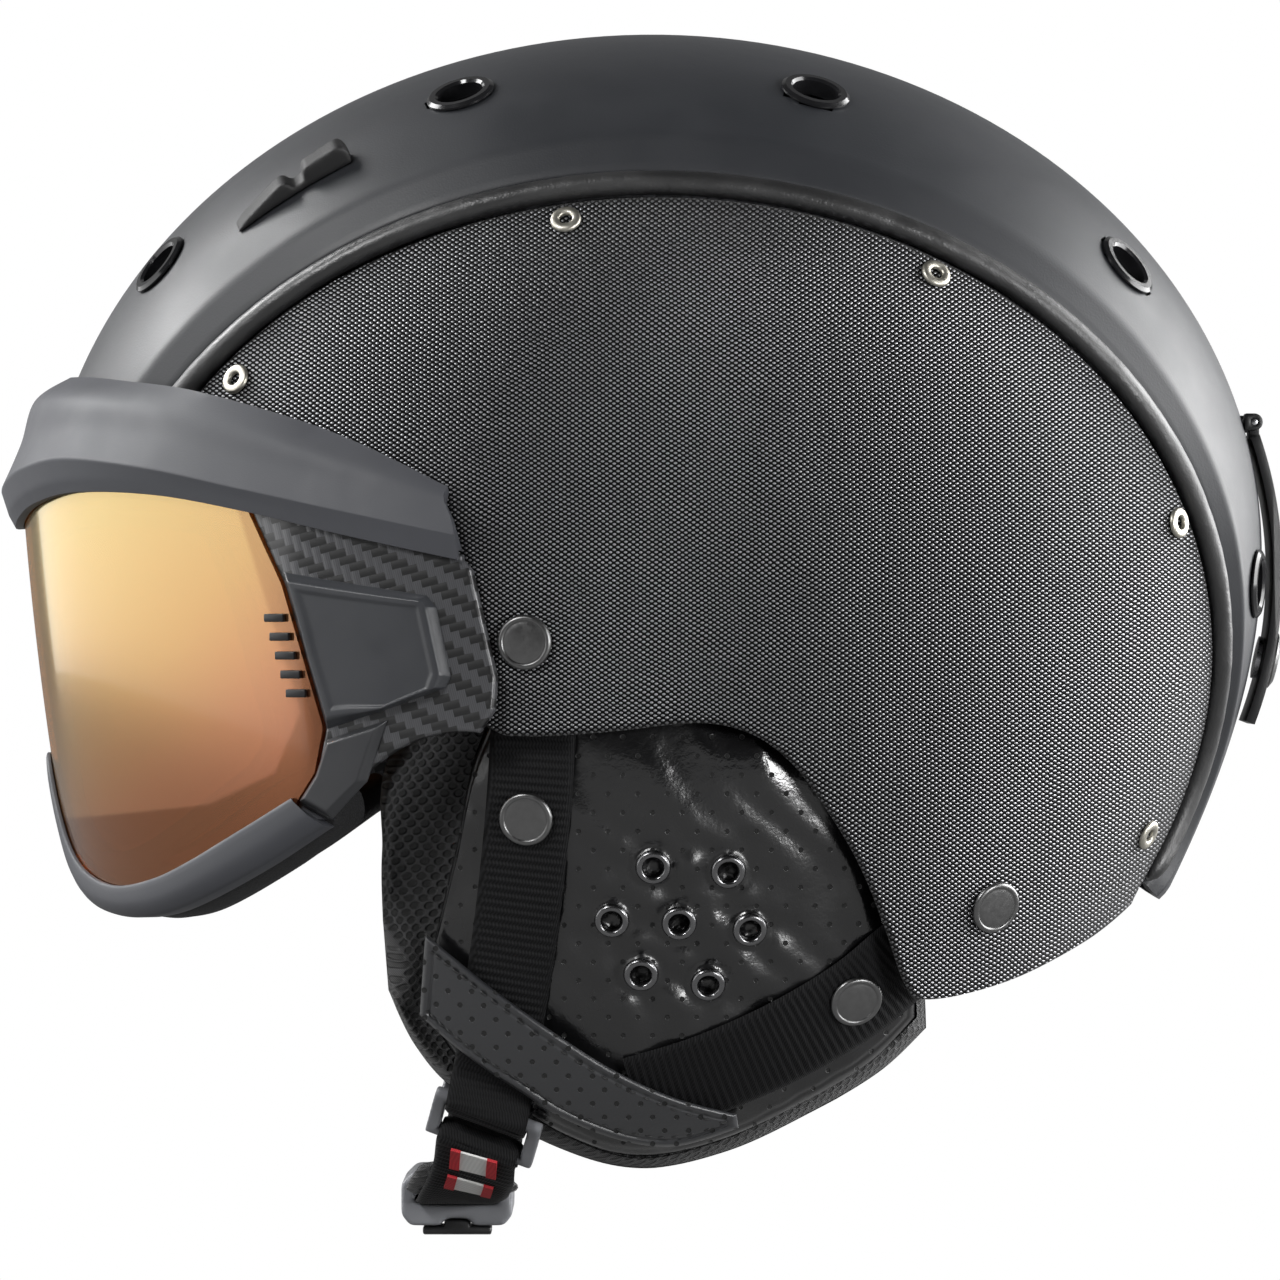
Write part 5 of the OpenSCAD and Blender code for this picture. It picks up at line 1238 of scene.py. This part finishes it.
def lens_grid(cols, rows, t, wall_t, inset):
    def spot(k, s):
        f = abs(k) / cols
        low = lookup(f * LENS_SIDE[0][1], LENS_LOW) + inset * 6
        high = lookup(f * LENS_SIDE[5][1], BROW_LOW) + LENS_LAP - 0.8 - inset * 6.2
        z = mix(low, high, s)
        return math.copysign(f * (lens_edge(z) - inset * 6.2), k), z
    pts = [[spot(k, s) for s in spaced(rows, 0.3)] for k in both_ways(cols, 0.15)]
    return slab(*([[on_visor(*p, layer) for p in row] for row in pts] for layer in (t, t - wall_t)))


def lower_frame():
    n = 110
    edge = [(0.0, -0.4), (0.02, 0.05), (0.08, 0.5), (0.2, 1.1), (0.36, 1.55), (0.5, 1.65), (0.64, 1.6),
        (0.78, 1.52), (0.9, 1.4), (0.97, 1.2), (1.0, 0.9)]
    low = lambda k: line_at(RIM_LOW, k, n)
    high = lambda k, lap: line_at(LENS_LOW, k, n) + vec(0, lap)

    def outer(k): return [at_visor(mix(low(k), high(k, LENS_LAP), f), t) for f, t in edge]

    def inner(k):
        inside = high(k, -0.5)
        pts = [at_visor(low(k), FRAME_BACK), at_visor(inside, FRAME_BACK), at_visor(inside, GAP),
            at_visor(high(k, LENS_LAP), GAP)]
        return [along(pts, f) for f in np.linspace(0, 1, 11)]
    return slab(*([row(k) for k in both_ways(n, 0.1)] for row in (outer, inner)))


def spacer():
    """Seal between the two lenses: along the foot, up the left side, back over the top and down."""
    n, play, seal, side_w, inset = 40, 0.15, 4.0, 1.7, 5.4
    near, far, top_a = -LENS_T - play, -LENS_T - LENS_AIR + play, LENS_SIDE[5][1] - 6
    path = []
    for k in range(-n, n + 1):
        p = line_at(LENS_LOW, k, n)
        path.append((vec(p[0] * 0.9, p[1] + 5), vec(0, seal)))
    levels = np.linspace(-44, -10, 14)
    path += [(vec(lens_edge(z) - inset, z), vec(-side_w, 0)) for z in levels]
    for a in top_a * np.arange(n, -n - 1, -1) / n:
        path.append((vec(a, lookup(abs(a), BROW_LOW) - 3.5), vec(0, -seal)))
    path += [(vec(inset - lens_edge(z), z), vec(side_w, 0)) for z in levels[::-1]]
    corners = ((0, near), (0, far), (1, far), (1, near))
    return tube([[at_visor(a + w * s, t) for s, t in corners] for a, w in path], True)


def face_foam():
    n = 120
    section = [(-3, 0), (-4.0, -2.5), (-4.5, -6), (-4.2, -9), (-3, -11.4), (-1, -12.3), (1, -12.3),
        (3.2, -11.4), (4.3, -9), (4.5, -6), (4.0, -2.5), (3, 0)]
    mids = [line_at(RIM_LOW, k, n) + vec(0, 4.2) for k in range(-n, n + 1)]
    return tube([[on_visor(p[0], p[1] + z, FRAME_BACK - GAP + t) for z, t in section] for p in mids])


skin("visor_brow", brow(), FRAME, 48, "visor")
both("visor_side_plate", side_plate(), CARBON, 50, "visor")
both("visor_lens_shelf", lens_shelf(), FRAME, sharp=40, body="visor", node=False)
both("visor_boss", raised(BOSS_FRONT, BOSS_REAR, 80, 90, 0.3, boss_top), BOSS, 60, "visor")
arm = raised(ARM_FRONT, ARM_REAR, 60, 60, 0.35, lambda p, d: 2.2 * float(smooth_step((d + 0.6) / 2.4)))
both("visor_arm", arm, ARM, 60, "visor")
skin("visor_lower_frame", lower_frame(), FRAME, 48, "visor")
skin("outer_lens", lens_grid(70, 50, 0, LENS_T, 0), LENS, 60, "visor")
skin("inner_lens", lens_grid(50, 36, -LENS_T - LENS_AIR, INNER_LENS_T, 1), INNER, 60, "visor")
skin("lens_spacer", spacer(), FACE_FOAM, 50, "visor")
skin("visor_foam", face_foam(), FACE_FOAM, 70, "visor")
dressed("visor_vent_comb", BLACK, 0.25)


# Camera, floor and lights

SPAN, DISTANCE, SENSOR = 0.3008, 1.8, 36
HALF_FLOOR, WALL_H, BEND_R, FLOOR_DROP = 6.0, 6.0, 1.2, 0.0005
WHITE = (1, 1, 1)


def placed(name, data, place):
    o = bpy.data.objects.new(name, data)
    bpy.context.scene.collection.objects.link(o)
    o.location = place
    return o


cam_data = bpy.data.cameras.new("camera")
cam = placed("camera", cam_data, (-0.00282, -DISTANCE, -0.02045))
cam.rotation_euler = (math.radians(90), 0, 0)
cam_data.sensor_width, cam_data.lens = SENSOR, SENSOR * DISTANCE / SPAN
cam_data.clip_start, cam_data.clip_end = 0.05, 20
bpy.context.scene.camera = cam


def seen_white(name, color, mirrored):
    """Lit as a plain surface, and pure white where the camera, a mirror or glass looks at it."""
    k = Look(name, color, 0.9)
    glossy = k.node("ShaderNodeLightPath").outputs["Is Glossy Ray"]
    k.cover(k.mul_add(glossy, mirrored, seen_rays(k.tree)), k.fed("ShaderNodeEmission", {0: WHITE}))
    return k.mat


floor_me = bpy.data.meshes.new("floor")
wall, level = HALF_FLOOR * 0.55, cad_box[0][2] - FLOOR_DROP
bend = [(-HALF_FLOOR, 0.0)] + [(wall + BEND_R * sin(a), BEND_R * (1 - cos(a))) for a in range(0, 91, 6)]
bend += [(wall + BEND_R, WALL_H)]
verts = [(x, y, level + z) for y, z in bend for x in (-HALF_FLOOR, HALF_FLOOR)]
floor_me.from_pydata(verts, [], [(2 * i, 2 * i + 1, 2 * i + 3, 2 * i + 2) for i in range(len(bend) - 1)])
floor_me.polygons.foreach_set("use_smooth", [True] * len(floor_me.polygons))
floor_me.materials.append(seen_white("backdrop_white", (0.09, 0.09, 0.09), 0.25))
floor = placed("floor", floor_me, (0, 0, 0))


def softbox(name, place, aim, power, width, height):
    d = bpy.data.lights.new(name, "AREA")
    d.shape, d.size, d.size_y, d.energy = "RECTANGLE", width, height, power
    o = placed(name, d, place)
    o.rotation_euler = (Vector(aim) - Vector(place)).to_track_quat("-Z", "Y").to_euler()


softbox("left_high", (-1.25, 0.4, 0.95), (-0.05, 0, 0.02), 27, 0.8, 0.7)
softbox("left_card", (-1.3, 0.35, 0.1), (-0.1, 0.35, 0.0), 17.5, 2.5, 1.15)
softbox("right", (1.3, 0.3, 0.3), (0.05, 0, 0), 55, 1.6, 1.2)
softbox("key", (-0.85, -1.07, 0.86), (-0.05, -0.1, 0.03), 12, 0.36, 0.36)
softbox("glow", (1.05, -1.2, -0.02), (0.05, -0.1, -0.03), 17, 0.5, 0.5)

world = bpy.data.worlds.new("studio")
bpy.context.scene.world = world
world.use_nodes = True
links, background = world.node_tree.links, next(n for n in world.node_tree.nodes if n.type == "BACKGROUND")
strength = world.node_tree.nodes.new("ShaderNodeMapRange")
strength.inputs[3].default_value, strength.inputs[4].default_value = 0.03, 1.0
links.new(seen_rays(world.node_tree), strength.inputs[0])
links.new(strength.outputs[0], background.inputs["Strength"])
background.inputs["Color"].default_value = (*WHITE, 1)

bpy.context.scene.view_settings.view_transform = "Standard"
